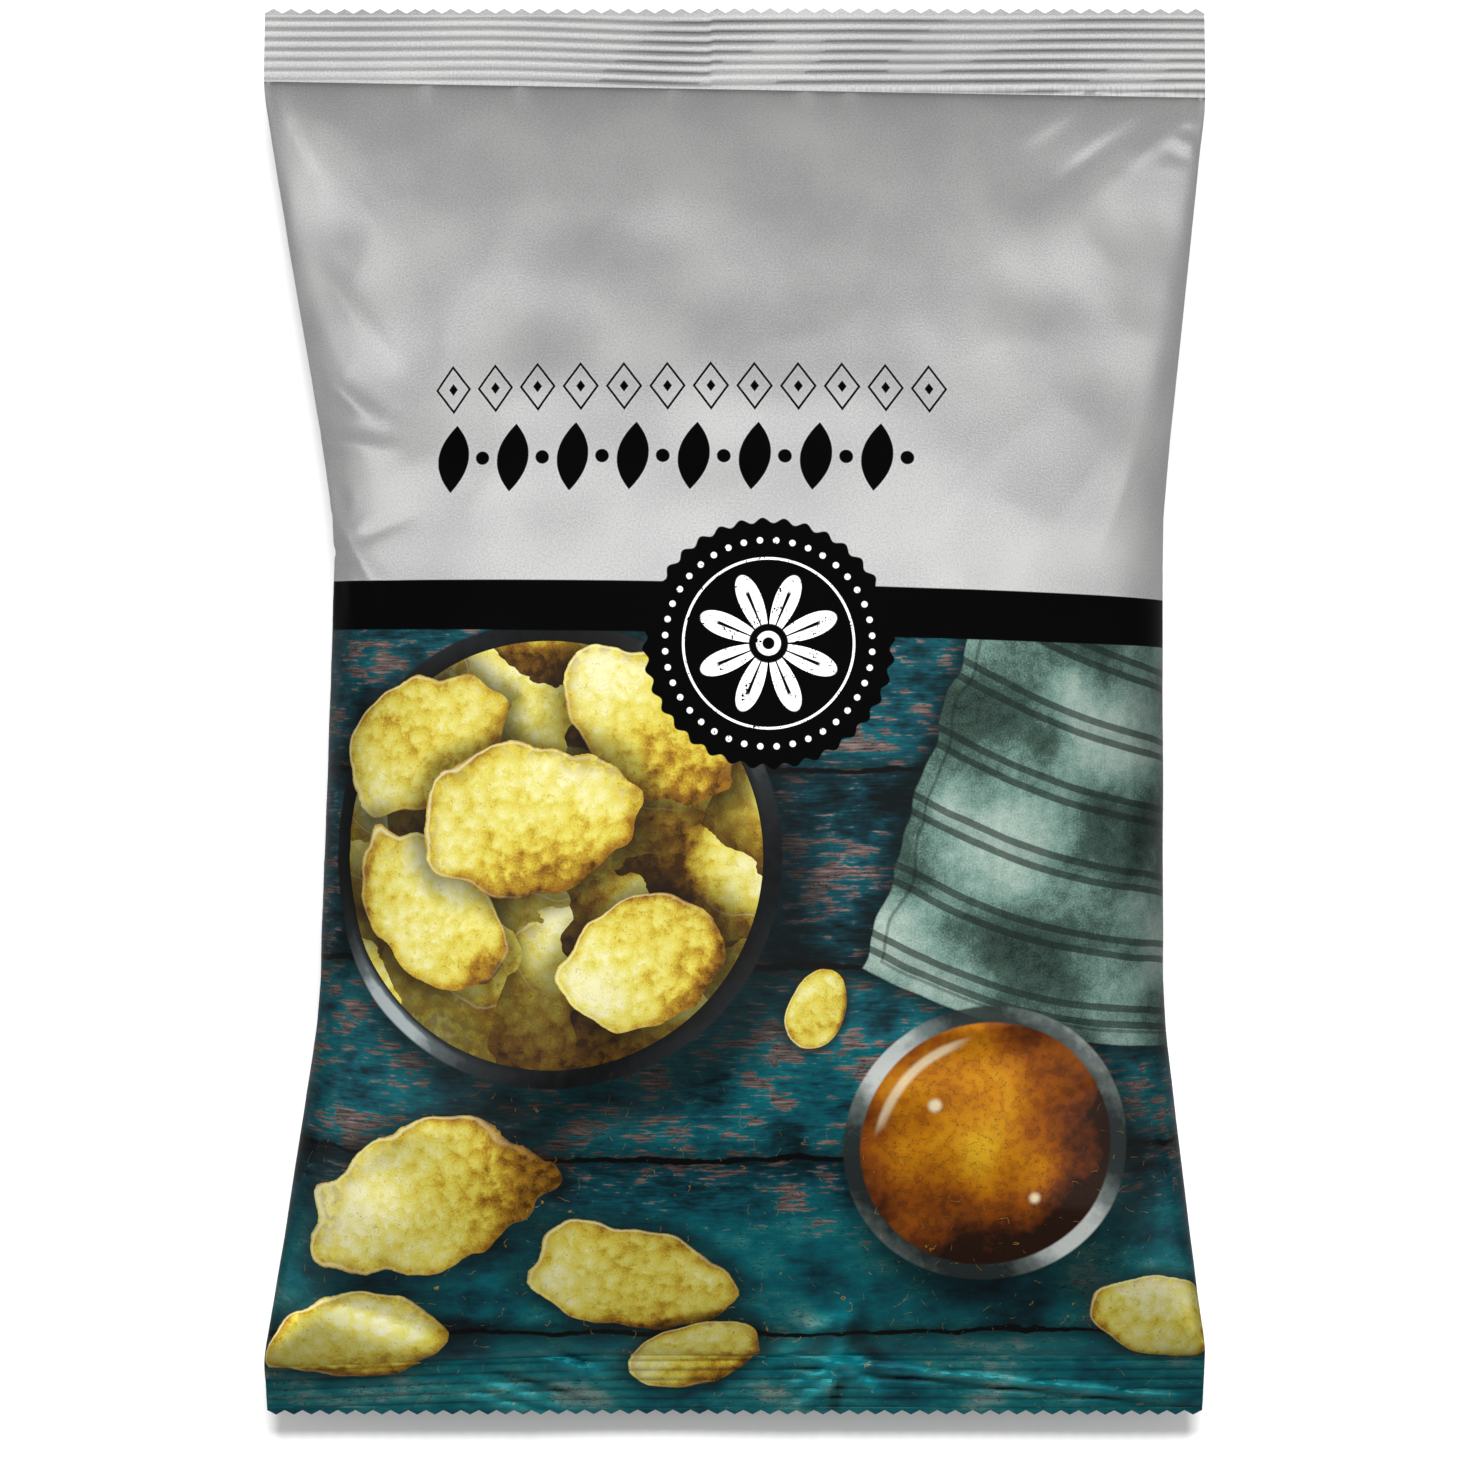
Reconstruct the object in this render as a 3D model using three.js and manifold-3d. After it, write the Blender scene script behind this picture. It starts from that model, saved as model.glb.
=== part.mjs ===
// A bag of crisps: a tube of printed film, welded flat across both ends and blown up with its
// crisps and gas, lying on its back with the printed face up.
//
// The film doesn't stretch, and that one fact shapes the whole bag. Wherever the contents
// push the front and the back apart, the sides have to come in, because each face is still one
// web of film wide from side to side. So the outline seen from above is given by a few
// measured widths, and the depth of every cross-section is worked out from them.
//
// Units are millimetres. X runs across the bag, Y from the bottom seal up to the top seal, and
// Z up from the table. The origin is on the table, under the middle of the bag.

import * as THREE from "three";
import { mergeVertices } from "three/addons/utils/BufferGeometryUtils.js";
import Module from "manifold-3d";

// The tube of film, pressed flat, and the bag from cut edge to cut edge.
const WEB_WIDTH = 200;
const BAG_LENGTH = 300;
const WELD_THICKNESS = 1; // the real weld is about 0.1 thick, and a solid needs more of a wall

// The crimped welds across the ends. Each has straight ribs and is cut off with a zigzag blade.
const RIB_PITCH = 2.18;
const RIB_HEIGHT = 0.34;
const TOP_RIBS = 8;
const BOTTOM_RIBS = 6;
const TOOTH_COUNT = 53;
const TOOTH_DEPTH = 1.05;
const BLADE_MARGIN = 0.6; // plain film between the teeth and the first rib
const TOP_DROOP = 2; // how far the free edge of the top weld hangs below its root
const BOTTOM_DROOP = 9; // the bottom weld bends towards the table much more
const FLAT_ABOVE_RIBS = 2.6; // unwelded film that still lies flat beside the ribs

// The outline from above: half the width at the narrow waist and lower down at the belly.
const WAIST_Y = 36;
const BELLY_Y = -62;
const LEFT_SIDE = { knee: 85.4, waist: 85.5, belly: 88.6 };
const RIGHT_SIDE = { knee: 90.4, waist: 90.9, belly: 91.4 };
const OUTLINE_BLEND = 0.9; // rounds the corners between the outline's straight runs
const DEPTH_BLEND = 6; // the belly's depth changes more softly along the bag than its outline does

// The cross-section is a superellipse: 2 is an ellipse, and more has flatter faces and fuller sides.
const FRONT_FULLNESS = 2.12;
const BACK_FULLNESS = 2.45;
const PRESSED_FLAT = 2.6; // how much of the back's roundness the table pushes in
const TABLE_BLEND = 1.5;

// The long weld down the back, a flap of film folded flat to one side.
const SEAM_LEFT = -4.8;
const SEAM_RIGHT = 11.2;
const SEAM_THICKNESS = 0.6;
const SEAM_EDGE = 0.9;
const SEAM_BRIDGE = 12; // beside the flap the film reaches the table again over this width
const SEAM_SHOWS = 0.2; // how much thicker the end welds are in front, where the flap runs into them

// Lines across the width, counted along the film from the middle of a face, and along the length.
const HALF_COLUMNS = [20, 30, 40, 50, 60, 70, 79, 87, 93, 97, 100];
const BODY_ROWS = 36;
const SECTION_STEPS = 72;

// Large soft folds in the front: a place on the film, the way the fold runs in degrees from X,
// its half length, its half width and its height, negative where it is a hollow.
const FRONT_FOLDS = [
  { s: -88, y: 122, turn: -62, long: 16, wide: 7, high: 1.6 }, // corner tucks below the top weld
  { s: -74, y: 124, turn: -40, long: 15, wide: 8, high: -1.4 },
  { s: 84, y: 121, turn: 48, long: 17, wide: 7, high: 1.6 },
  { s: 70, y: 121, turn: 40, long: 17, wide: 8, high: -1.6 },
  { s: -84, y: 38, turn: 84, long: 17, wide: 8, high: 2.0 }, // the crease beside the waist
  { s: -74, y: 62, turn: 20, long: 12, wide: 8, high: -1.2 },
  { s: -72, y: 48, turn: -28, long: 15, wide: 8, high: 1.0 },
  { s: 66, y: 44, turn: 52, long: 18, wide: 8, high: 1.2 },
  { s: 84, y: 30, turn: 60, long: 15, wide: 8, high: -1.2 },
  { s: 72, y: -72, turn: 62, long: 16, wide: 9, high: -2.2 }, // the dent low on the right
  { s: 84, y: -66, turn: 70, long: 15, wide: 8, high: 1.4 },
  { s: -84, y: -118, turn: 40, long: 16, wide: 8, high: 1.8 }, // corner tucks above the bottom weld
  { s: -70, y: -122, turn: -24, long: 14, wide: 7, high: -1.4 },
  { s: 82, y: -118, turn: -42, long: 16, wide: 8, high: 1.6 },
  { s: 22, y: -126, turn: 60, long: 11, wide: 7, high: 1.8 }, // the pucker over the long weld
  { s: 10, y: -124, turn: -50, long: 11, wide: 7, high: -1.4 },
];

const HALF_LENGTH = BAG_LENGTH / 2;
const HALF_WEB = WEB_WIDTH / 2;
const TOP_WELD_Y = HALF_LENGTH - TOOTH_DEPTH - BLADE_MARGIN - TOP_RIBS * RIB_PITCH;
const BOTTOM_WELD_Y = -HALF_LENGTH + TOOTH_DEPTH + BLADE_MARGIN + BOTTOM_RIBS * RIB_PITCH;
const SHOULDER_Y = TOP_WELD_Y - FLAT_ABOVE_RIBS;
const HEEL_Y = BOTTOM_WELD_Y + FLAT_ABOVE_RIBS;

// The larger of two values, with the corner between them rounded off.
function softMax(a, b, round) {
  const overlap = Math.max(round - Math.abs(a - b), 0);
  return Math.max(a, b) + (overlap * overlap) / (4 * round);
}

// A straight line through two points of the outline, read at y.
function lineAt(y, y0, width0, y1, width1) {
  return width0 + ((width1 - width0) * (y - y0)) / (y1 - y0);
}

// Half the width on one side: down from the shoulder, along the waist, and out to the heel.
function halfWidth(y, side, blend) {
  if (y >= SHOULDER_Y || y <= HEEL_Y) return HALF_WEB;
  const upper = lineAt(y, SHOULDER_Y, HALF_WEB, WAIST_Y, side.knee);
  const middle = lineAt(y, WAIST_Y, side.waist, BELLY_Y, side.belly);
  const lower = lineAt(y, BELLY_Y, side.belly, HEEL_Y, HALF_WEB);
  return Math.min(softMax(softMax(upper, middle, blend), lower, blend), HALF_WEB);
}

// Half the width that decides how deep the bag is at y, the same for both of its sides.
function evenHalfWidth(y) {
  return (halfWidth(y, LEFT_SIDE, DEPTH_BLEND) + halfWidth(y, RIGHT_SIDE, DEPTH_BLEND)) / 2;
}

// A quarter of a superellipse, from the middle of the face to its side, with the film used so far.
function quarterSection(width, depth, fullness) {
  const points = [{ x: 0, z: depth, film: 0 }];
  for (let step = 1; step <= SECTION_STEPS; step++) {
    const angle = ((Math.PI / 2) * step) / SECTION_STEPS;
    const x = width * Math.sin(angle) ** (2 / fullness);
    const z = depth * Math.max(Math.cos(angle), 0) ** (2 / fullness);
    const last = points[step - 1];
    points.push({ x, z, film: last.film + Math.hypot(x - last.x, z - last.z) });
  }
  return points;
}

// The section of a given half width whose quarter takes exactly half a web of film.
function inflatedSection(width, fullness) {
  let shallow = 0;
  let deep = HALF_WEB;
  while (deep - shallow > 1e-4) {
    const depth = (shallow + deep) / 2;
    const film = quarterSection(width, depth, fullness).at(-1).film;
    if (film < HALF_WEB) shallow = depth;
    else deep = depth;
  }
  return quarterSection(width, shallow, fullness);
}

// The point of a quarter section that lies a length of film away from the middle of the face.
function pointOnSection(section, film) {
  const total = section.at(-1).film;
  const wanted = (Math.min(film, HALF_WEB) / HALF_WEB) * total;
  const after = Math.max(section.findIndex((point) => point.film >= wanted), 1);
  const a = section[after - 1];
  const b = section[after];
  const share = THREE.MathUtils.clamp((wanted - a.film) / (b.film - a.film), 0, 1);
  return { x: THREE.MathUtils.lerp(a.x, b.x, share), z: THREE.MathUtils.lerp(a.z, b.z, share) };
}

// The height of the soft folds at a place on the front, fading out at the sides and the welds.
function foldRelief(s, y) {
  const sideFade = 1 - (s / HALF_WEB) ** 8;
  const endFade = THREE.MathUtils.smoothstep(Math.min(SHOULDER_Y - y, y - HEEL_Y), 0, 7);
  let height = 0;
  for (const fold of FRONT_FOLDS) {
    const turn = THREE.MathUtils.degToRad(fold.turn);
    const along = (s - fold.s) * Math.cos(turn) + (y - fold.y) * Math.sin(turn);
    const across = (y - fold.y) * Math.cos(turn) - (s - fold.s) * Math.sin(turn);
    height += fold.high * Math.exp(-((along / fold.long) ** 2) - (across / fold.wide) ** 2);
  }
  return height * sideFade * endFade;
}

// 1 on the flap of the long weld and 0 beside it.
function onSeam(s) {
  const left = THREE.MathUtils.smoothstep(s, SEAM_LEFT - SEAM_EDGE, SEAM_LEFT);
  const right = 1 - THREE.MathUtils.smoothstep(s, SEAM_RIGHT, SEAM_RIGHT + SEAM_EDGE);
  return Math.min(left, right);
}

// The lowest that the back can lie at a place: on the table, or bridging over the flap's edge.
function tableLevel(s) {
  const beside = Math.max(SEAM_LEFT - s, s - SEAM_RIGHT);
  const bridge = 1 - THREE.MathUtils.smoothstep(beside, SEAM_EDGE, SEAM_EDGE + SEAM_BRIDGE);
  return SEAM_THICKNESS * bridge * (1 - onSeam(s));
}

// The height of the welds' roots, which lie in the bag's middle plane.
const deepestBack = inflatedSection(evenHalfWidth((WAIST_Y + BELLY_Y) / 2), BACK_FULLNESS)[0].z;
const WELD_Z = deepestBack + WELD_THICKNESS / 2 - PRESSED_FLAT;

// The middle of the film's two layers outside the filled part, which droops towards each cut edge.
function weldHeight(y) {
  const aboveRoot = Math.max(y - SHOULDER_Y, 0) / (HALF_LENGTH - SHOULDER_Y);
  const belowRoot = Math.max(HEEL_Y - y, 0) / (HALF_LENGTH + HEEL_Y);
  return WELD_Z - TOP_DROOP * aboveRoot ** 2 - BOTTOM_DROOP * belowRoot ** 1.3;
}

// One line across the bag: its place along Y, the ribs' height there, its two sections, and
// how those are widened and moved across to meet the outline on both sides.
function makeRow(y, rib) {
  const left = halfWidth(y, LEFT_SIDE, OUTLINE_BLEND);
  const right = halfWidth(y, RIGHT_SIDE, OUTLINE_BLEND);
  const even = evenHalfWidth(y);
  const filled = even < HALF_WEB - 1e-3;
  return {
    y,
    rib,
    shift: (right - left) / 2,
    stretch: (right + left) / 2 / even,
    front: filled ? inflatedSection(even, FRONT_FULLNESS) : null,
    back: filled ? inflatedSection(even, BACK_FULLNESS) : null,
  };
}

// All the lines from the bottom cut edge to the top one.
function makeRows() {
  const rows = [makeRow(-HALF_LENGTH, 0)];
  const ribLines = (start, count) => {
    for (let line = 0; line <= 3 * count; line++) {
      const rib = line % 3 ? RIB_HEIGHT : -RIB_HEIGHT; // a narrow groove, then a broad crest
      rows.push(makeRow(start + (line * RIB_PITCH) / 3, rib));
    }
  };
  ribLines(-HALF_LENGTH + TOOTH_DEPTH + BLADE_MARGIN, BOTTOM_RIBS);
  for (let line = 0; line <= BODY_ROWS; line++) {
    const share = (1 - Math.cos((Math.PI * line) / BODY_ROWS)) / 2;
    rows.push(makeRow(THREE.MathUtils.lerp(HEEL_Y, SHOULDER_Y, share), 0));
  }
  ribLines(TOP_WELD_Y, TOP_RIBS);
  rows.push(makeRow(HALF_LENGTH, 0));
  return rows;
}

// The places of the lines along the bag, closer together where the long weld's edges run.
function makeColumns() {
  const seam = [SEAM_LEFT - SEAM_EDGE, SEAM_LEFT, SEAM_RIGHT, SEAM_RIGHT + SEAM_EDGE];
  const left = HALF_COLUMNS.map((s) => -s).reverse();
  return [...left, -12, ...seam, ...HALF_COLUMNS];
}

// Where a spot of the film lies: s counts along the film, and face is 1 in front and -1 behind.
function filmPoint(row, s, face) {
  const half = (face * WELD_THICKNESS) / 2;
  const seam = onSeam(s) * SEAM_THICKNESS;
  const section = face > 0 ? row.front : row.back;
  if (!section) {
    const flap = face < 0 ? -seam : onSeam(s) * SEAM_SHOWS;
    return new THREE.Vector3(s, row.y, weldHeight(row.y) + row.rib + half + flap);
  }
  const spot = pointOnSection(section, Math.abs(s));
  const x = row.shift + Math.sign(s) * spot.x * row.stretch;
  const z = WELD_Z + half + face * spot.z;
  if (face > 0) return new THREE.Vector3(x, row.y, z + foldRelief(s, row.y));
  return new THREE.Vector3(x, row.y, softMax(z - seam, tableLevel(s), TABLE_BLEND));
}

// The bag as one closed skin: a box whose front, back and thin rim are moved onto the film.
function bagGeometry() {
  const rows = makeRows();
  const columns = makeColumns();
  const across = columns.length - 1;
  const along = rows.length - 1;
  const box = new THREE.BoxGeometry(1, 1, 1, across, along, 1);
  const position = box.getAttribute("position");
  for (let i = 0; i < position.count; i++) {
    const s = columns[Math.round((position.getX(i) + 0.5) * across)];
    const row = rows[Math.round((position.getY(i) + 0.5) * along)];
    const spot = filmPoint(row, s, Math.sign(position.getZ(i)));
    position.setXYZ(i, spot.x, spot.y, spot.z);
  }
  return box;
}

// What the zigzag blade cuts away beyond one end. end is 1 at the top and -1 at the bottom.
function bladeGeometry(end) {
  const reach = 6;
  const overhang = 2;
  const pitch = WEB_WIDTH / TOOTH_COUNT;
  const shape = new THREE.Shape();
  shape.moveTo(-HALF_WEB - overhang, HALF_LENGTH);
  for (let tooth = 0; tooth < TOOTH_COUNT; tooth++) {
    const x = -HALF_WEB + tooth * pitch;
    shape.lineTo(x, HALF_LENGTH);
    shape.lineTo(x + pitch / 2, HALF_LENGTH - TOOTH_DEPTH);
  }
  shape.lineTo(HALF_WEB, HALF_LENGTH);
  shape.lineTo(HALF_WEB + overhang, HALF_LENGTH);
  shape.lineTo(HALF_WEB + overhang, HALF_LENGTH + reach);
  shape.lineTo(-HALF_WEB - overhang, HALF_LENGTH + reach);
  shape.closePath();
  const blade = new THREE.ExtrudeGeometry(shape, { depth: 3 * WELD_Z, bevelEnabled: false });
  blade.translate(0, 0, -WELD_Z);
  return end > 0 ? blade : blade.rotateZ(Math.PI);
}

const wasm = await Module();
wasm.setup();

// A three.js geometry as a solid that can be cut.
function toSolid(geometry) {
  const bare = geometry.index ? geometry.toNonIndexed() : geometry.clone();
  bare.deleteAttribute("normal");
  bare.deleteAttribute("uv");
  const merged = mergeVertices(bare, 1e-4);
  return new wasm.Manifold(
    new wasm.Mesh({
      numProp: 3,
      vertProperties: merged.attributes.position.array,
      triVerts: new Uint32Array(merged.index.array),
    }),
  );
}

// A solid as a three.js geometry that can be shown.
function toGeometry(solid) {
  const mesh = solid.getMesh();
  const geometry = new THREE.BufferGeometry();
  geometry.setAttribute("position", new THREE.BufferAttribute(mesh.vertProperties, 3));
  geometry.setIndex(new THREE.BufferAttribute(mesh.triVerts, 1));
  geometry.computeVertexNormals();
  return geometry;
}

const bagSolid = toSolid(bagGeometry())
  .subtract(toSolid(bladeGeometry(1)))
  .subtract(toSolid(bladeGeometry(-1)));

const film = new THREE.MeshStandardMaterial({
  name: "printed_film",
  color: 0xb4b5b6,
  roughness: 0.42,
  metalness: 0.35,
});

const bag = new THREE.Mesh(toGeometry(bagSolid), film);
bag.name = "bag";

const crispsBag = new THREE.Group();
crispsBag.add(bag);

export default crispsBag;
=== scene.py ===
# %% [markdown]
# # A bag of crisps
#
# A crisps bag is made from one web of printed film. The web is rolled into a tube, its two
# long edges are welded down the back, and the tube is welded flat and cut off at both ends.
# Then the crisps and the gas inside blow it up. This lesson makes the bag in the same order:
# a flat grid is the web, its vertices are moved to where the film lies, and the print is
# drawn by material nodes that read where a point was on the flat web.
#
# The construction model gives the size and the main form. It is loaded first and never moved.

# %% The frame
import math

import bpy
import numpy as np
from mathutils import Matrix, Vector
from mathutils.bvhtree import BVHTree


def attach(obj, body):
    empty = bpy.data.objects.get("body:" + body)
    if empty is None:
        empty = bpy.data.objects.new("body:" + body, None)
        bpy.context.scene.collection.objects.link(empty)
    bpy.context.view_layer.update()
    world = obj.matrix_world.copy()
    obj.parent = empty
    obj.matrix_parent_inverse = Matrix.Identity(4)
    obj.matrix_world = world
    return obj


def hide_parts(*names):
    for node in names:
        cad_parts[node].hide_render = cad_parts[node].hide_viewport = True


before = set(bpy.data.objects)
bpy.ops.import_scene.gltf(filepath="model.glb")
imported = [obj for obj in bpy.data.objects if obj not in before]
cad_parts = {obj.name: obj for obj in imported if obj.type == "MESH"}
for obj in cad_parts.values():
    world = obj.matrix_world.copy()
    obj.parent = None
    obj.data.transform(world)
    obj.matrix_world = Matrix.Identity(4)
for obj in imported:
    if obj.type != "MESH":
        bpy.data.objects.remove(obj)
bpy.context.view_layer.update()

MM = 0.001

# %% [markdown]
# ## The sizes of the web
#
# All lengths in this file are in millimetres until a mesh is made. `COLUMNS` is three for
# each tooth of the zigzag cut, so that every tooth gets a valley, a tip and one more line.
# A rib of the crimped welds needs five lines to look round. The film between the welds gets
# squares of about the same size as the columns, which is fine enough for its small folds.

# %% The sizes of the web
FACE_WIDTH = 200
TEETH = 53
COLUMNS = 3 * TEETH
CELL = FACE_WIDTH / COLUMNS
HALF_LENGTH = 150
TOOTH_DEPTH = 1.05
BLADE_MARGIN = 0.6  # plain film between the zigzag and the first rib
RIB_PITCH = 2.18
TOP_RIBS = 8
BOTTOM_RIBS = 6
LINES_PER_RIB = 5
BODY_ROWS = 210
WELD_GAP = 0.26  # the two skins of a weld, seen from the side
WELD_HEIGHT = 25  # about how high the welds lie over the table

TOP_WELD_Y = HALF_LENGTH - TOOTH_DEPTH - BLADE_MARGIN - TOP_RIBS * RIB_PITCH
BOTTOM_WELD_Y = -HALF_LENGTH + TOOTH_DEPTH + BLADE_MARGIN + BOTTOM_RIBS * RIB_PITCH
print(f"columns {COLUMNS}, cell {CELL:.2f} mm, welds at {BOTTOM_WELD_Y:.1f} and {TOP_WELD_Y:.1f}")

# %% [markdown]
# ## Reading the form of the bag
#
# The film has to lie where the construction model's surface is. Rays from above and below
# find that surface. The film doesn't stretch, so a point's place across the bag is found by
# walking along the section until the right length of film is used up.

# %% Reading the form of the bag
cad_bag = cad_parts["bag"]
surface = BVHTree.FromObject(cad_bag, bpy.context.evaluated_depsgraph_get())
SECTION_SAMPLES = 96
RAY_START = 200
JUST_INSIDE = 0.05


def surface_height(x, y, face):
    """Height of the bag's front (face 1) or back (face -1) at x, y, or None beside it."""
    start = Vector((x * MM, y * MM, face * RAY_START * MM))
    hit = surface.ray_cast(start, Vector((0, 0, -face)))[0]
    return None if hit is None else hit.z / MM


def side_end(y, side):
    """The x where the two faces meet at y, on the left (side -1) or the right (side 1)."""
    inside, outside = 0, side * (FACE_WIDTH / 2 + 1)
    while abs(outside - inside) > JUST_INSIDE / 4:
        x = (inside + outside) / 2
        if surface_height(x, y, 1) is None:
            outside = x
        else:
            inside = x
    return inside


def face_section(y, face, film_places):
    """Points (x, z) of one face at y, at the given shares of the film's width."""
    ends = [side_end(y, side) for side in (-1, 1)]
    share = (1 - np.cos(np.pi * np.arange(SECTION_SAMPLES + 1) / SECTION_SAMPLES)) / 2
    x = ends[0] + (ends[1] - ends[0]) * share
    z = np.array([surface_height(place, y, face) for place in x[1:-1]], float)
    rims = []
    for near in (x[0] + JUST_INSIDE, x[-1] - JUST_INSIDE):
        rims.append((surface_height(near, y, 1) + surface_height(near, y, -1)) / 2)
    z = np.concatenate([rims[:1], z, rims[1:]])
    used = np.concatenate([[0], np.cumsum(np.hypot(np.diff(x), np.diff(z)))])
    used /= used[-1]
    return np.interp(film_places, used, x), np.interp(film_places, used, z)


print(f"waist from {side_end(36, -1):.1f} to {side_end(36, 1):.1f} mm")

# %% [markdown]
# ## The rows along the bag
#
# Along the bag the film is measured down the middle of the front, where it is stretched
# tight from weld to weld. Rows that are equally far apart along the film are closer together
# in Y on the steep parts beside the welds.

# %% The rows along the bag
MIDDLE_SAMPLES = 400
middle_y = np.linspace(BOTTOM_WELD_Y, TOP_WELD_Y, MIDDLE_SAMPLES)
middle_z = np.array([surface_height(0, y, 1) for y in middle_y])
middle_film = np.concatenate([[0], np.cumsum(np.hypot(np.diff(middle_y), np.diff(middle_z)))])
BODY_FILM = middle_film[-1]
ROW_CELL = BODY_FILM / BODY_ROWS
body_y = np.interp(np.linspace(0, BODY_FILM, BODY_ROWS + 1), middle_film, middle_y)
print(f"film from weld to weld {BODY_FILM:.1f} mm, rows {ROW_CELL:.2f} mm apart")

# %% [markdown]
# ## The film as a tube of points
#
# The web starts at the back seam, runs round the left side, over the front, round the right
# side and back to the seam. An array of points with one row for each line across the bag is
# easier to reckon with than a mesh, because its columns wrap round like the tube itself.

# %% The film as a tube of points
AROUND = 2 * COLUMNS
LEFT_FOLD = 76  # columns from the back seam, which lies a little left of the middle
RIGHT_FOLD = LEFT_FOLD + COLUMNS
WALL = 1.0  # the construction model's welds are this thick
WALL_FADE = 4.0

# for each column of the web: its line counted from the bag's left side, and its face
from_left = np.arange(AROUND) - LEFT_FOLD
line_of = np.minimum(np.abs(from_left), AROUND - from_left)
face_of = np.where((from_left > 0) & (from_left < COLUMNS), 1, -1)
face_of[[LEFT_FOLD, RIGHT_FOLD]] = 0
film_shares = np.arange(COLUMNS + 1) / COLUMNS


def as_tube(front, back):
    """One row or many, put together from the lines of the front and of the back."""
    return np.where((face_of >= 0)[:, None], front[..., line_of, :], back[..., line_of, :])


def thinned(front, back):
    """Both faces moved together where they almost touch, so that a weld is only film."""
    gap = front[:, 2] - back[:, 2]
    closer = (WALL - WELD_GAP) / 2 * np.exp(-np.maximum(gap - WALL, 0) / WALL_FADE)
    front[:, 2] -= closer
    back[:, 2] += closer


tube = np.zeros((BODY_ROWS + 1, AROUND, 3))
for row, y in enumerate(body_y):
    faces = []
    for face in (1, -1):
        x, z = face_section(y, face, film_shares)
        faces.append(np.stack([x, np.full(x.shape, y), z], -1))
    thinned(*faces)
    tube[row] = as_tube(*faces)
print("tube of", tube.shape[0], "rows and", tube.shape[1], "columns")

# %% [markdown]
# ## Smoothing out the facets
#
# The construction model is made of flat triangles, and shiny film would show every one. The
# tube of points is averaged with its neighbours a number of times. That also draws the sides
# in a little, so each row is stretched back to its width afterwards.

# %% Smoothing out the facets
def next_to(points, down, right):
    """The points so many rows further along and columns further round; the ends are repeated."""
    moved = np.roll(points, -right, axis=1)
    if down > 0:
        moved = np.concatenate([moved[down:], moved[-1:].repeat(down, axis=0)])
    if down < 0:
        moved = np.concatenate([moved[:1].repeat(-down, axis=0), moved[:down]])
    return moved


def averaged(points, times, down=0, right=0):
    """The points averaged a number of times with those before and after them."""
    for _ in range(times):
        before, after = next_to(points, -down, -right), next_to(points, down, right)
        inner = points / 2 + (before + after) / 4
        if down:
            inner[0], inner[-1] = points[0], points[-1]
        points = inner
    return points


def side_places(points):
    """The x of both sides of the bag, for every row."""
    return points[:, [LEFT_FOLD, RIGHT_FOLD], 0]


ALONG_PASSES = 24
AROUND_PASSES = 10
widths = side_places(tube)
tube = averaged(averaged(tube, AROUND_PASSES, right=1), ALONG_PASSES, down=1)
narrowed = side_places(tube)
share = (tube[:, :, 0] - narrowed[:, :1]) / (narrowed[:, 1:] - narrowed[:, :1])
tube[:, :, 0] = widths[:, :1] + share * (widths[:, 1:] - widths[:, :1])
print("smoothing drew the sides in by", np.abs(widths - narrowed).max().round(2), "mm")

# %% [markdown]
# ## Folds and dents that the photograph shows
#
# A few folds have their own place on this bag: creases that run out of the corners, short
# puckers under the top weld, knuckle-shaped dents along the sides and flat spots where
# crisps press against the film. A crease is sharp along its line and runs out softly on both
# sides. Places are in millimetres from the middle of the bag, seen from above.

# %% Folds and dents that the photograph shows
CREASES = [
    # start x, y, end x, y, height, and how far it runs out to its left and to its right
    (-96, 128.5, -84, 125, 1.5, 3, 9),
    (-92, 127, -88, 110, 1.3, 6, 4),
    (77, 131, 64, 122, 1.2, 3, 7),
    (90, 130, 72, 117, 1.4, 3, 9),
    (95, 125, 86, 117, 1.4, 3, 6),
    (84, 126, 66, 110, -0.9, 4, 6),
    (-83, 90, -73, 76, 1.1, 4, 6),
    (-85, 70, -74, 62, 1.3, 3, 5),
    (-86, 58, -72, 56, 1.3, 3, 6),
    (-84, 43, -75, 29, 1.6, 3, 7),
    (-82, 36, -68, 41, -0.9, 3, 4),
    (44, 41, 60, 60, 1.0, 8, 4),
    (60, 28, 74, 50, 1.0, 7, 4),
    (76, 34, 85, 60, 1.0, 5, 4),
    (26, -68, 78, -62, 1.3, 3, 9),
    (70, -60, 86, -78, 1.4, 5, 5),
    (62, -84, 84, -76, -1.1, 4, 5),
    (-100, -134, -88, -125, 1.7, 4, 4),
    (-88, -125, -66, -132, 1.7, 3, 6),
    (8, -137, 21, -127, 1.5, 5, 4),
    (21, -140, 24, -123, 1.4, 4, 3),
    (30, -137, 23, -129, -1.0, 4, 4),
    (14, -147, 27, -138, 1.2, 3, 2.5),
    (13, -143, 26, -137, 1.1, 2, 2),
    (21, -150, 23, -138, -1.1, 2.5, 2.5),
    (31, -145, 22, -137, 1.1, 2.5, 3),
    (-39, -137, -29, -140, 1.4, 2, 3),
    (-37, -135, -31, -139, -0.7, 2, 2),
    (-55, -142, -38, -148, 0.9, 2, 2),
    (-58, -145, -42, -150, 0.8, 1.8, 1.8),
    (-50, -140.5, -33, -146, -0.8, 1.8, 1.8),
    (14, -137, 101, -146.5, 1.0, 1.2, 2.5),
    (16, -139.5, 90, -147.5, -0.7, 1.5, 1.5),
]
PUCKERS = [
    # like the creases, but so small that they are pressed in after the film has settled
    (-96, 131, -90, 117, 0.9, 3.0, 5.0),
    (-66, 137, -65, 130, 1.1, 3.0, 4.5),
    (-47, 137, -45, 129.5, 1.0, 4.0, 3.0),
    (-14, 136, -13, 130.5, 0.9, 4.0, 3.0),
    (14, 136, 16, 129, 1.0, 3.0, 4.5),
    (25, 136, 24, 129.5, 1.0, 4.0, 3.0),
]
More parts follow.
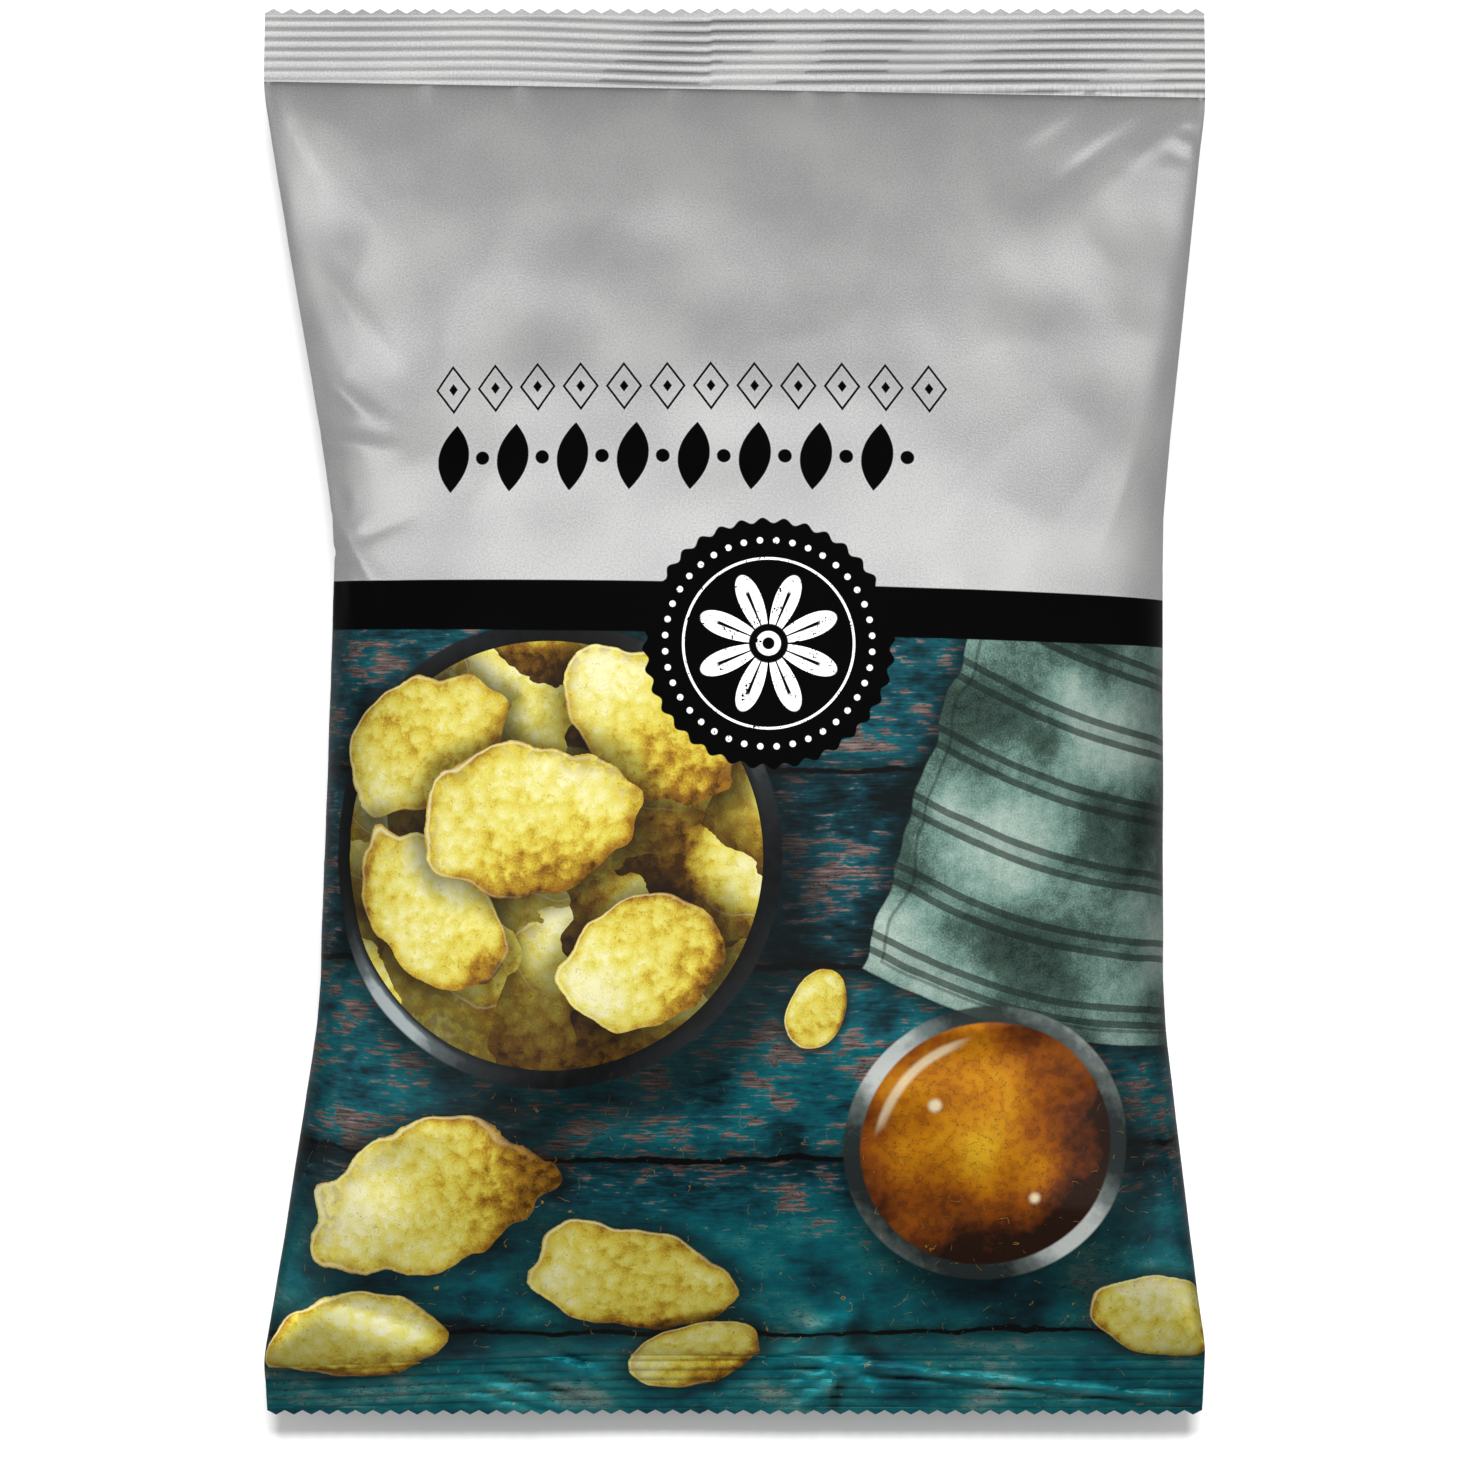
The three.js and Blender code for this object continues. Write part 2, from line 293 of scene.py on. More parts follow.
SOFT_SPOTS = [
    # x, y, half width, half height and rise
    (-81, 108, 10, 12, 0.35),
    (-58, 108, 8, 10, 0.4),
    (-40, 110, 8, 9, 0.5),
    (-10, 111, 10, 9, 0.5),
    (25, 121, 12, 6, -0.8),
    (48, 108, 12, 9, 0.5),
    (-5, 82, 14, 9, -0.5),
    (18, 78, 8, 16, 0.5),
    (-46, 84, 15, 8, -0.4),
    (62, 88, 10, 8, -0.5),
    (-60, 20, 12, 9, 0.4),
    (50, 0, 16, 12, 0.4),
    (-30, -60, 16, 14, 0.4),
    (52, -72, 20, 9, -1.1),
]

CLOUD_SEED = 11
CLOUD_WAVES = 16
CLOUD_LENGTHS = (11, 36)
CLOUD_SLOPE = 0.0022
EDGE_SLOPE = 0.0034


def ramp(value, start, end):
    """0 at start, 1 at end, and a smooth curve between them."""
    share = np.clip((value - start) / (end - start), 0, 1)
    return share * share * (3 - 2 * share)


def crease_relief(x, y, crease):
    """Height of one crease at places x, y."""
    x0, y0, x1, y1, height, left, right = crease
    length = math.hypot(x1 - x0, y1 - y0)
    ux, uy = (x1 - x0) / length, (y1 - y0) / length
    along = (x - x0) * ux + (y - y0) * uy
    across = (x - x0) * -uy + (y - y0) * ux
    run_out = np.where(across > 0, left, right)
    flank = np.clip(1 - np.abs(across) / run_out, 0, 1) ** 2
    reach = 0.35 * length
    ends = ramp(along, -reach, reach) * ramp(length - along, -reach, reach)
    return height * flank * ends


def cloudy(x, y):
    """Uneven height all over the film: waves of many lengths in all directions, and faint
    crisp edges where a second set of waves crosses zero."""
    waves = np.random.default_rng(CLOUD_SEED)
    relief, edges = 0, 0
    for number in range(CLOUD_WAVES):
        length = waves.uniform(*CLOUD_LENGTHS)
        turn, phase = waves.uniform(0, np.pi), waves.uniform(0, 2 * np.pi)
        along = (x * np.cos(turn) + y * np.sin(turn)) * 2 * np.pi / length
        relief = relief + length * np.sin(along + phase)
        if number % 2:
            longer = 1.6 * length
            across = (x * np.sin(turn) - y * np.cos(turn)) * 2 * np.pi / longer
            edges = edges + longer * np.sin(across + 2 * phase)
    return relief * CLOUD_SLOPE - np.abs(edges) * EDGE_SLOPE


def creased(x, y):
    """Height of all the creases of the front at places x, y."""
    return sum(crease_relief(x, y, crease) for crease in CREASES)


def front_relief(x, y):
    """Height of all the folds and soft spots of the front at places x, y."""
    relief = creased(x, y)
    for spot_x, spot_y, wide, tall, rise in SOFT_SPOTS:
        relief = relief + rise * np.exp(-((x - spot_x) / wide) ** 2 - ((y - spot_y) / tall) ** 2)
    return relief


print(f"{len(CREASES)} creases, {len(PUCKERS)} puckers and {len(SOFT_SPOTS)} soft spots")

# %% [markdown]
# ## A film that doesn't stretch
#
# The middle of the bag uses up the whole length of the film, but its sides are straighter
# and so shorter. Real film can't shrink: what is too long there buckles into small dents and
# puckers. The points are moved in many small steps. In each step the gas pushes outwards, the
# crisps hold the form, and then every pair of neighbours is pulled back to its length on the
# flat web. Blender's Cloth is made for fabric that gives, and would need minutes for this.

# %% Pairs of neighbouring points
def neighbours(points, down, right):
    """Pairs of views of points so many rows and columns apart. No point comes twice in a
    pair, so all of its points can be moved at once."""
    if down == 0:
        return [
            (points[:, 0::2], points[:, 1::2]),
            (points[:, 1:-1:2], points[:, 2::2]),
            (points[:, -1:], points[:, :1]),
        ]
    pairs = []
    for first in (0, 1):
        here, beyond = points[first:-1:2], points[first + 1::2]
        if right == 0:
            pairs.append((here, beyond))
        elif right == 1:
            pairs += [(here[:, :-1], beyond[:, 1:]), (here[:, -1:], beyond[:, :1])]
        else:
            pairs += [(here[:, 1:], beyond[:, :-1]), (here[:, :1], beyond[:, -1:])]
    return pairs


def pull(here, beyond, length):
    """Moves both points of each pair along their line until they are a length apart."""
    gap = beyond - here
    gap *= 0.5 * (1 - length / np.sqrt((gap * gap).sum(-1, keepdims=True)))
    here += gap
    beyond -= gap


def outward(points):
    """The direction out of the film at every point, of length 1."""
    around = next_to(points, 0, 1) - next_to(points, 0, -1)
    along = next_to(points, 1, 0) - next_to(points, -1, 0)
    normal = np.cross(around, along)
    return normal / np.linalg.norm(normal, axis=-1, keepdims=True)


def bumps(points):
    """How far each point stands off the average of its four neighbours."""
    around = next_to(points, 0, 1) + next_to(points, 0, -1)
    return (around + next_to(points, 1, 0) + next_to(points, -1, 0)) / 4 - points


print("sets of pairs along the rows:", len(neighbours(tube, 0, 1)))

# %% [markdown]
# ## Letting the film settle
#
# The film is free to slide over the crisps, but they keep it from sinking in, so a point is
# held much more across the film than along it. A coarse tube settles first, which moves large
# stretches of film quickly. Its result is the start for the fine one.

# %% Letting the film settle
SLACK_KEPT = 0.5
SLACK_MORE = 0.35  # added where the left side's dents are, round DENTS_Y
DENTS_Y, DENTS_REACH = 62, 42
SIDE_PLAY = 0.15
TABLE = 0.02
FLAP_CELLS = 12  # the back seam's flap is this many columns wide
FLAP_ROOM = 0.45  # the film stays this high over the table where the flap lies under it
GAS_EVERY = 5  # the gas's direction is found anew after so many steps


def settle(form, start, cell, row_cell, steps, push, hold, slide, stiffness):
    """The film's points after a number of steps from a start, on a form that they lie on."""
    points = start.copy()
    taken = np.linalg.norm(np.diff(form, axis=0), axis=-1).sum(0) / (row_cell * (len(form) - 1))
    near_dents = np.exp(-((form[:, :, 1] - DENTS_Y) / DENTS_REACH) ** 2) * (form[:, :, 0] < 0)
    kept = SLACK_KEPT + SLACK_MORE * near_dents
    lengths = row_cell * (kept + (1 - kept) * taken)[:, :, None]
    slants = np.hypot(cell, lengths)
    springs = [(pair, cell) for pair in neighbours(points, 0, 1)]
    for down, right, rest in ((1, 0, lengths), (1, 1, slants), (1, -1, slants)):
        rests = [here for here, _ in neighbours(rest, down, right)]
        springs += list(zip(neighbours(points, down, right), rests))
    normal = outward(form)
    from_seam = form[:, :, 0] - form[:, :1, 0]
    flap_width = FLAP_CELLS * CELL
    over_flap = ramp(from_seam, -4, -1) * ramp(from_seam, flap_width + 4, flap_width + 1)
    over_flap *= form[:, :, 2] < WELD_HEIGHT
    lowest = TABLE + (FLAP_ROOM - TABLE) * over_flap
    leftmost = form[:, :, 0].min(1, keepdims=True) - SIDE_PLAY
    rightmost = form[:, :, 0].max(1, keepdims=True) + SIDE_PLAY
    for step in range(steps):
        if step % GAS_EVERY == 0:
            gas = outward(points) * push
        drift = points - form + gas
        drift -= stiffness * bumps(bumps(drift))
        across = (drift * normal).sum(-1, keepdims=True) * normal
        kept = across * (1 - hold) + (drift - across) * (1 - slide)
        points[1:-1] = (form + kept)[1:-1]
        for (here, beyond), rest in springs:
            pull(here, beyond, rest)
        points[[0, -1]] = form[[0, -1]]
        points[:, :, 0] = np.clip(points[:, :, 0], leftmost, rightmost)
        np.maximum(points[:, :, 2], lowest, out=points[:, :, 2])
    return points


def root_shift(x, end):
    """How far the root of a weld lies further up than in the construction model."""
    if end > 0:
        return 1.6 - 0.017 * x
    return -1.2 - 2.6 * np.clip((-30 - x) / 70, 0, 1)


COARSE = 3
START_SEED = 7
SIDE_FADE = 6  # relief runs out over this length towards the sides
FOLD_FADE, CLOUD_FADE = 2.5, 8  # and over these towards the welds
BACK_SHIFT = 300  # the back's clouds are taken from this far to the side
ROOT_REACH = 22
GUTTER_DEPTH = 0.7  # the film is pinched just below the top weld
CALM_REACH = 18  # near a weld the film's sides keep their form over this length
SIDE_TRIM = [
    # y, and how far the left and the right side are drawn in from the construction model's
    (-134, 0.0, 0.0), (-124, 0.7, 0.6), (-112, 1.1, 0.8), (-70, 1.1, 0.8),
    (-48, 0.7, 0.4), (0, 0.9, 0.2), (30, 1.0, 0.1), (46, 1.5, 0.3),
    (60, 1.6, 0.4), (92, 1.1, 0.4), (118, 0.6, 0.4), (131, 0.0, 0.0),
]
EDGE_REACH = 14  # film this near to a side is moved with it to keep the bag's outline
for end, weld_y in ((1, TOP_WELD_Y), (-1, BOTTOM_WELD_Y)):
    nearness = 1 - ramp(np.abs(tube[:, :, 1] - weld_y), 0, ROOT_REACH)
    tube[:, :, 1] += root_shift(tube[:, :, 0], end) * nearness
from_ends = np.minimum(body_y - BOTTOM_WELD_Y, TOP_WELD_Y - body_y)[:, None]
from_side = FACE_WIDTH / 2 - np.abs(line_of * CELL - FACE_WIDTH / 2)
on_front = (face_of > 0) * ramp(from_side, 0, SIDE_FADE)
relief = front_relief(tube[:, :, 0], tube[:, :, 1]) * on_front * ramp(from_ends, 0, FOLD_FADE)
lifted = ramp(tube[:, :, 2], 1, 8)  # film that lies on the table is pressed smooth
clouds = cloudy(tube[:, :, 0] + BACK_SHIFT * (face_of < 0), tube[:, :, 1])
relief += clouds * ramp(from_side, 0, SIDE_FADE) * ramp(from_ends, 0, CLOUD_FADE) * lifted
from_top = TOP_WELD_Y - body_y[:, None]
gutter = ramp(from_top, 0, 1.2) * ramp(from_top, 5.5, 1.6)
relief -= GUTTER_DEPTH * gutter * (face_of > 0) * ramp(from_side, 3, 12)
form = tube + outward(tube) * relief[:, :, None]
coarse_form = form[::COARSE, ::COARSE]
unevenness = np.random.default_rng(START_SEED).normal(size=coarse_form.shape[:2] + (1,))
unevenness = averaged(averaged(unevenness, 2, right=1), 2, down=1)
coarse_start = coarse_form + outward(coarse_form) * unevenness
coarse = settle(coarse_form, coarse_start, COARSE * CELL, COARSE * ROW_CELL,
                steps=900, push=0.03, hold=0.01, slide=0.0005, stiffness=0.02)


def finer(drift):
    """The coarse tube's drift at every point of the fine one."""
    closed = np.concatenate([drift, drift[:, :1]], axis=1)
    known_rows, known_columns = [np.arange(count) for count in closed.shape]
    rows = np.arange(BODY_ROWS + 1) / COARSE
    columns = np.arange(AROUND) / COARSE
    tall = np.stack([np.interp(rows, known_rows, line) for line in closed.T], 1)
    return np.stack([np.interp(columns, known_columns, line) for line in tall])


moved = np.stack([finer((coarse - coarse_form)[:, :, axis]) for axis in range(3)], -1)
print(f"the coarse film moved {np.linalg.norm(moved, axis=-1).mean():.2f} mm on average")
tube = settle(form, form + moved, CELL, ROW_CELL,
              steps=260, push=0.012, hold=0.01, slide=0.0005, stiffness=0.1)
calm = (1 - ramp(from_ends, 0, CALM_REACH)) * ramp(from_side, 6, 2)
tube += (form - tube) * calm[:, :, None]
trim_y, trim_left, trim_right = np.transpose(SIDE_TRIM)
for outermost, trim in ((np.min, trim_left), (np.max, -trim_right)):
    edge, wanted = [outermost(points[:, :, 0], axis=1, keepdims=True) for points in (tube, form)]
    wanted = wanted + np.interp(body_y, trim_y, trim)[:, None]
    tube[:, :, 0] += (wanted - edge) * ramp(np.abs(tube[:, :, 0] - edge), EDGE_REACH, 0)
pinched = sum(crease_relief(tube[:, :, 0], tube[:, :, 1], pucker) for pucker in PUCKERS)
pinched = pinched * (face_of > 0) * ramp(from_side, 0, 4) * ramp(from_ends, 0, 1)
tube += outward(tube) * pinched[:, :, None]
drift = np.linalg.norm(tube - form, axis=-1)
print(f"film moved {drift.mean():.2f} mm on average and {drift.max():.2f} mm at most")

# %% [markdown]
# ## The crimped welds
#
# Hot ribbed jaws press the two layers of film together at each end, and a zigzag blade cuts
# the next bag off. On this bag the top weld's ribs are soft waves at the left and narrow
# grooves at the right, and they jump where the folded back seam runs into the weld. Each rib
# is real relief in the mesh here, because its shadows and the cut edge show it.

# %% The crimped welds
SEAM_LEFT = -4.8
SEAM_RIGHT = 14.0
GROOVE_DEPTH = 0.34
WAVE_HEIGHT = 0.16
GROOVE_SHARE = 0.17  # half width of a groove, as a share of the pitch
CREST_HIGHLIGHT = 0.15  # painted highlight on a crest, this much as strong as the painted shade in a groove
FIRST_RIB = TOOTH_DEPTH + BLADE_MARGIN
SQUEEZED = 0.04  # lines of the mesh are never closer together than this
ROOT_SHADE, ROOT_FADE = 0.45, 3.5  # painted shade where the film is bent hard away from a weld, and how fast it fades
ROOT_SHADE_LINE, LINE_FADE = 0.5, 0.8
FOLD_HIGHLIGHT = 2.0  # painted highlight for each millimetre of a crease's height
SHEEN_TOP, SHEEN_FADE = -118, 12
SHEEN_LEAST, SHEEN_MOST = -0.9, 1.8
# painted highlight on the puckers under the top weld
PUCKER_HIGHLIGHT = 0.3
line_x = -FACE_WIDTH / 2 + CELL * np.arange(COLUMNS + 1)
line_at_front = LEFT_FOLD + np.arange(COLUMNS + 1)
line_at_back = (LEFT_FOLD - np.arange(COLUMNS + 1)) % AROUND
inner_line = np.ones(COLUMNS + 1)
inner_line[[0, -1]] = 0


def rib_shift(x, end):
    """How much further in from the cut the ribs run at x. They aren't parallel to it."""
    if end < 0:
        return -2.4 * np.clip((-25 - x) / 72, 0, 1) + 0.12 * np.sin(x / 13)
    left_of_seam = 1.45 * ramp(x, -58, SEAM_LEFT)
    right_of_seam = 1.15 - 0.3 * ramp(x, SEAM_LEFT, 30)
    return np.where(x < SEAM_LEFT, left_of_seam, right_of_seam) + 0.12 * np.sin(x / 19)


def rib_relief(turns, x, end):
    """Height of the ribs so many ribs in from the first one, and the painted shade in their grooves and
    painted highlight on their crests.
    """
    share = turns - np.round(turns)
    groove, wave = np.exp(-(share / GROOVE_SHARE) ** 2), np.cos(2 * np.pi * share)
    sharp = ramp(x, -75, -5) if end > 0 else 0.8
    uneven = 0.85 + 0.15 * np.sin(x / 23 + 2 * end) * np.cos(x / 9 + turns / 2)
    relief = -(sharp * groove * GROOVE_DEPTH + (1 - sharp) * wave * WAVE_HEIGHT) * uneven
    painted_shade_and_sheen = ((0.35 + 0.65 * sharp) * groove - CREST_HIGHLIGHT * (1 - wave) / 2) * uneven
    return relief, painted_shade_and_sheen


def painted_fold_sheen(x, y):
    """Painted highlight on the folds low in the picture, and painted shade in their hollows."""
    sheen = np.clip(FOLD_HIGHLIGHT * creased(x, y), SHEEN_LEAST, SHEEN_MOST)
    return sheen * ramp(y, SHEEN_TOP, SHEEN_TOP - SHEEN_FADE)


def weld_rows(end, ribs, root):
    """The rows from a weld's root to its cut edge, and the painted shade and painted highlight at
    each point. end is 1 at the top, -1 at the bottom."""
    root_y = root[line_at_front, 1]
    sample_y = end * np.linspace(HALF_LENGTH - 3, np.abs(root_y).min() + 1, 12)
    middles = [(surface_height(0, y, 1) + surface_height(0, y, -1)) / 2 for y in sample_y]
    bend = np.polyfit(sample_y, middles, 2)
    root_middle = (root[line_at_front, 2] + root[line_at_back, 2]) / 2
    lift = root_middle - np.polyval(bend, root_y)
    on_seam = ramp(line_x, SEAM_LEFT - 0.8, SEAM_LEFT) * ramp(line_x, SEAM_RIGHT + 2, SEAM_RIGHT)
    tooth = np.arange(COLUMNS + 1) % 3
    room = HALF_LENGTH - np.abs(root_y)
    count = (ribs + 1) * LINES_PER_RIB
    rows, shades_and_sheens = [], []
    for number in range(count, -3, -1):
        turns = number / LINES_PER_RIB - 1
        wanted = FIRST_RIB + turns * RIB_PITCH + rib_shift(line_x, end)
        nearest = TOOTH_DEPTH + BLADE_MARGIN / 2 + SQUEEZED * max(number, 0)
        furthest = room - SQUEEZED * (count + 1 - number)
        from_cut = np.clip(wanted, nearest, furthest)
        shown = ramp(wanted, FIRST_RIB - 0.5, FIRST_RIB + 0.4) * ramp(room - wanted, 0.1, 1.1)
        relief, painted_shade_and_sheen = [part * shown for part in rib_relief(turns, line_x, end)]
        x = line_x
        if number == -1:  # the last straight line, which the valleys of the zigzag almost reach
            from_cut = np.full(line_x.shape, TOOTH_DEPTH + BLADE_MARGIN / 4)
        if number == -2:  # the zigzag cut itself
            from_cut = TOOTH_DEPTH * (1 - np.choose(tooth, [0, 1, 0.5]))
            x = line_x + CELL * np.choose(tooth, [0, 0.5, 0.25]) * inner_line
        y = end * (HALF_LENGTH - from_cut)
        share = (y - root_y) / (end * HALF_LENGTH - root_y)
        middle = np.polyval(bend, y) + lift * (1 - ramp(share, 0, 0.4)) + relief
        middle += share ** 2 * (0.5 * np.sin(line_x / 26 + end) + 0.25 * np.sin(line_x / 11))
        middle += front_relief(line_x, y) * ramp(share, 0, 0.05) + 0.18 * on_seam * ramp(share, 0.08, 0.3)
        front = np.stack([x, y, middle + WELD_GAP / 2 * inner_line], -1)
        back = np.stack([x, y, middle - WELD_GAP / 2 * inner_line], -1)
        rows.append(as_tube(front, back))
        shades_and_sheens.append(painted_shade_and_sheen[line_of] - painted_fold_sheen(line_x, y)[line_of])
    return rows, shades_and_sheens


top_rows, top_shade_and_sheen = weld_rows(1, TOP_RIBS, tube[-1])
bottom_rows, bottom_shade_and_sheen = weld_rows(-1, BOTTOM_RIBS, tube[0])
skin = np.concatenate([bottom_rows[::-1], tube, top_rows])


def root_shade(distance, fade_share):
    """Painted shade at a distance from the root of a weld, where the film is bent hard."""
    soft = fade_share * ROOT_SHADE * np.exp(-distance / ROOT_FADE)
    return soft + ROOT_SHADE_LINE * np.exp(-distance / LINE_FADE)


# painted shade below both welds, painted highlight and shade on the folds low in the picture, and painted
# highlight on the puckers
body_shade_and_sheen = root_shade(from_top, 1) + root_shade(body_y[:, None] - BOTTOM_WELD_Y, 0.3)
body_shade_and_sheen = body_shade_and_sheen - painted_fold_sheen(tube[:, :, 0], tube[:, :, 1]) * (face_of > 0)
body_shade_and_sheen -= PUCKER_HIGHLIGHT * pinched
skin_shade_and_sheen = np.concatenate([bottom_shade_and_sheen[::-1], body_shade_and_sheen, top_shade_and_sheen])
print("the whole film has", skin.shape[0], "rows")

# %% [markdown]
# ## Turning the points into the bag
#
# A grid is added with one vertex for each point of the web, flat as it comes off the roll.
# Its vertices are then moved to the film's points. The grid's first and last columns meet at
# the back seam, where merging them closes the tube, and filling the two narrow openings
# between the teeth closes the ends.

# %% Turning the points into the bag
def deselect_all():
    bpy.ops.object.select_all(action="DESELECT")


def only(piece):
    """Makes one piece the active and only selected one."""
    deselect_all()
    piece.select_set(True)
    bpy.context.view_layer.objects.active = piece


def grid_through(points, name):
    """A mesh whose grid of vertices lies at rows and columns of points, in millimetres."""
    rows, across = points.shape[:2]
    deselect_all()
    bpy.ops.mesh.primitive_grid_add(x_subdivisions=across - 1, y_subdivisions=rows - 1, size=1)
    piece = bpy.context.object
    piece.name = piece.data.name = name
    piece.data.vertices.foreach_set("co", (points * MM).astype(np.float32).ravel())
    piece.data.update()
    return piece


def wrapped(points):
    """The same points with the first column repeated at the end, where a tube closes."""
    return np.concatenate([points, points[:, :1]], axis=1)


def lay_out(piece, web):
    """Writes where each vertex was on the flat web, from 0 to 1, as the UV map web."""
    flat_map = piece.data.uv_layers.active or piece.data.uv_layers.new(name="web")
    flat_map.name = "web"
    corners = np.empty(len(piece.data.loops), np.int32)
    piece.data.loops.foreach_get("vertex_index", corners)
    flat_map.data.foreach_set("uv", web.reshape(-1, 2)[corners].astype(np.float32).ravel())


def mark_shade_and_sheen(piece, painted_shade_and_sheen):
    """Writes the painted shade at each vertex as an attribute; painted highlight is negative."""
    attribute = piece.data.attributes.new("painted_shade_and_sheen", "FLOAT", "POINT")
    attribute.data.foreach_set("value", painted_shade_and_sheen.astype(np.float32).ravel())


def close_tube(piece):
    """Joins the tube's first and last columns and fills its two open ends."""
    only(piece)
    bpy.ops.object.mode_set(mode="EDIT")
    bpy.ops.mesh.select_all(action="SELECT")
    bpy.ops.mesh.remove_doubles(threshold=0.01 * MM)
    bpy.ops.mesh.select_all(action="DESELECT")
    bpy.ops.mesh.select_mode(type="EDGE")
    others = {"use_wire": False, "use_multi_face": False, "use_verts": False}
    bpy.ops.mesh.select_non_manifold(extend=False, **others)
    bpy.ops.mesh.fill_holes(sides=0)
    bpy.ops.mesh.quads_convert_to_tris(ngon_method="BEAUTY")
    bpy.ops.mesh.select_all(action="SELECT")
    bpy.ops.mesh.normals_make_consistent(inside=False)
    bpy.ops.object.mode_set(mode="OBJECT")
    bpy.ops.object.shade_smooth_by_angle(angle=math.radians(50))


bag = grid_through(wrapped(skin), "printed_film_bag")
steps_along = np.linalg.norm(np.diff(skin[:, (LEFT_FOLD + RIGHT_FOLD) // 2], axis=0), axis=-1)
film_along = np.concatenate([[0], np.cumsum(steps_along)])
FILM_LENGTH = film_along[-1]
flat_web = np.stack(np.meshgrid(np.arange(AROUND + 1) / AROUND, film_along / FILM_LENGTH), -1)
lay_out(bag, flat_web)
mark_shade_and_sheen(bag, wrapped(skin_shade_and_sheen))
print(f"the web is {FACE_WIDTH * 2} by {FILM_LENGTH:.1f} mm, in {len(bag.data.polygons)} squares")
close_tube(bag)

uv_layer = bag.data.uv_layers["web"].data
for face in bag.data.polygons:
    if face.loop_total == 3:  # only the narrow faces that close the ends are triangles
        for corner in face.loop_indices:
            place = bag.data.vertices[bag.data.loops[corner].vertex_index].co / MM
            column = LEFT_FOLD + (place.x + FACE_WIDTH / 2) / CELL
            uv_layer[corner].uv = (column / AROUND, float(place.y > 0))
print("the bag has", len(bag.data.polygons), "faces")

# %% [markdown]
# ## The flap of the back seam
#
# The web's two edges are welded inside to inside, which leaves a flap two skins thick. It is
# folded flat to one side and lies between the bag and the table. Its free edge isn't glued,
# so it stands off a little, more in some places than in others. The strip is made like the
# bag, as a closed tube of points that follows the film above it.

# %% The flap of the back seam
FLAP_THICKNESS = 0.15
FLAP_ENDS = 2  # rows left free at each weld
OFF_AT_FOLD, OFF_AT_EDGE = 0.08, 0.45  # the flap stands off the bag, more so at its edge
flap_columns = -np.arange(FLAP_CELLS + 1) % AROUND
under = tube[FLAP_ENDS:-FLAP_ENDS, flap_columns]
away = outward(tube)[FLAP_ENDS:-FLAP_ENDS, flap_columns]
share = np.arange(FLAP_CELLS + 1) / FLAP_CELLS
loose = 0.55 + 0.3 * np.sin(under[:, :, 1] / 17) + 0.15 * np.sin(under[:, :, 1] / 5.3 + 1)
gap = OFF_AT_FOLD + OFF_AT_EDGE * loose * share ** 2
inner = under + away * gap[:, :, None]
outer = under + away * (gap + FLAP_THICKNESS)[:, :, None]
inner[:, :, 2] = np.maximum(inner[:, :, 2], TABLE + FLAP_THICKNESS)
outer[:, :, 2] = np.maximum(outer[:, :, 2], TABLE)
outer[:, -1, 0] += 0.25 * np.sin(under[:, -1, 1] / 9)
strip = np.concatenate([inner, outer[:, ::-1]], axis=1)
flap = grid_through(wrapped(strip), "back_seam_flap")
on_strip = np.concatenate([share, share[::-1], share[:1]]) * FLAP_CELLS / AROUND
FLAP_PRINT = (0.62, 0.95)  # the part of the web's length whose print the flap wears
lay_out(flap, np.stack(np.meshgrid(on_strip, np.linspace(*FLAP_PRINT, len(strip))), -1))
# every second line of the flap gets painted shade, standing in for the grooves of the jaws
jaw_line_shade = 0.45 * (np.arange(strip.shape[1]) % 2)
mark_shade_and_sheen(flap, wrapped(np.tile(jaw_line_shade, (len(strip), 1))))
close_tube(flap)
print(f"flap {FLAP_CELLS * CELL:.1f} mm wide, {len(flap.data.polygons)} faces")

for piece in (bag, flap):
    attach(piece, "root")
    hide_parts("bag")

# %% [markdown]
# ## Short ways to write node trees
#
# The print is drawn by nodes that work on numbers, so a small class lets those numbers be
# added and multiplied like any others in Python. Colours are written as a screen shows them,
# from 0 to 255, and turned into the linear values that the shader wants.

# %% Short ways to write node trees
def srgb(red, green, blue):
    """The linear colour for the 0 to 255 values of a screen."""
    shares = [channel / 255 for channel in (red, green, blue)]
    return [s / 12.92 if s <= 0.04045 else ((s + 0.055) / 1.055) ** 2.4 for s in shares] + [1]


def plug(tree, value, socket):
    """Links a field or an output to a socket, or sets the socket's value."""
    if isinstance(value, Field):
        value = value.output()
    if isinstance(value, bpy.types.NodeSocket):
        tree.links.new(value, socket)
    else:
        socket.default_value = value


def add_node(tree, kind, inputs=None, **settings):
    """A new node with its settings and its inputs, which are named or numbered."""
    node = tree.nodes.new(kind)
    for name, value in settings.items():
        setattr(node, name, value)
    for key, value in (inputs or {}).items():
        plug(tree, value, node.inputs[key])
    return node


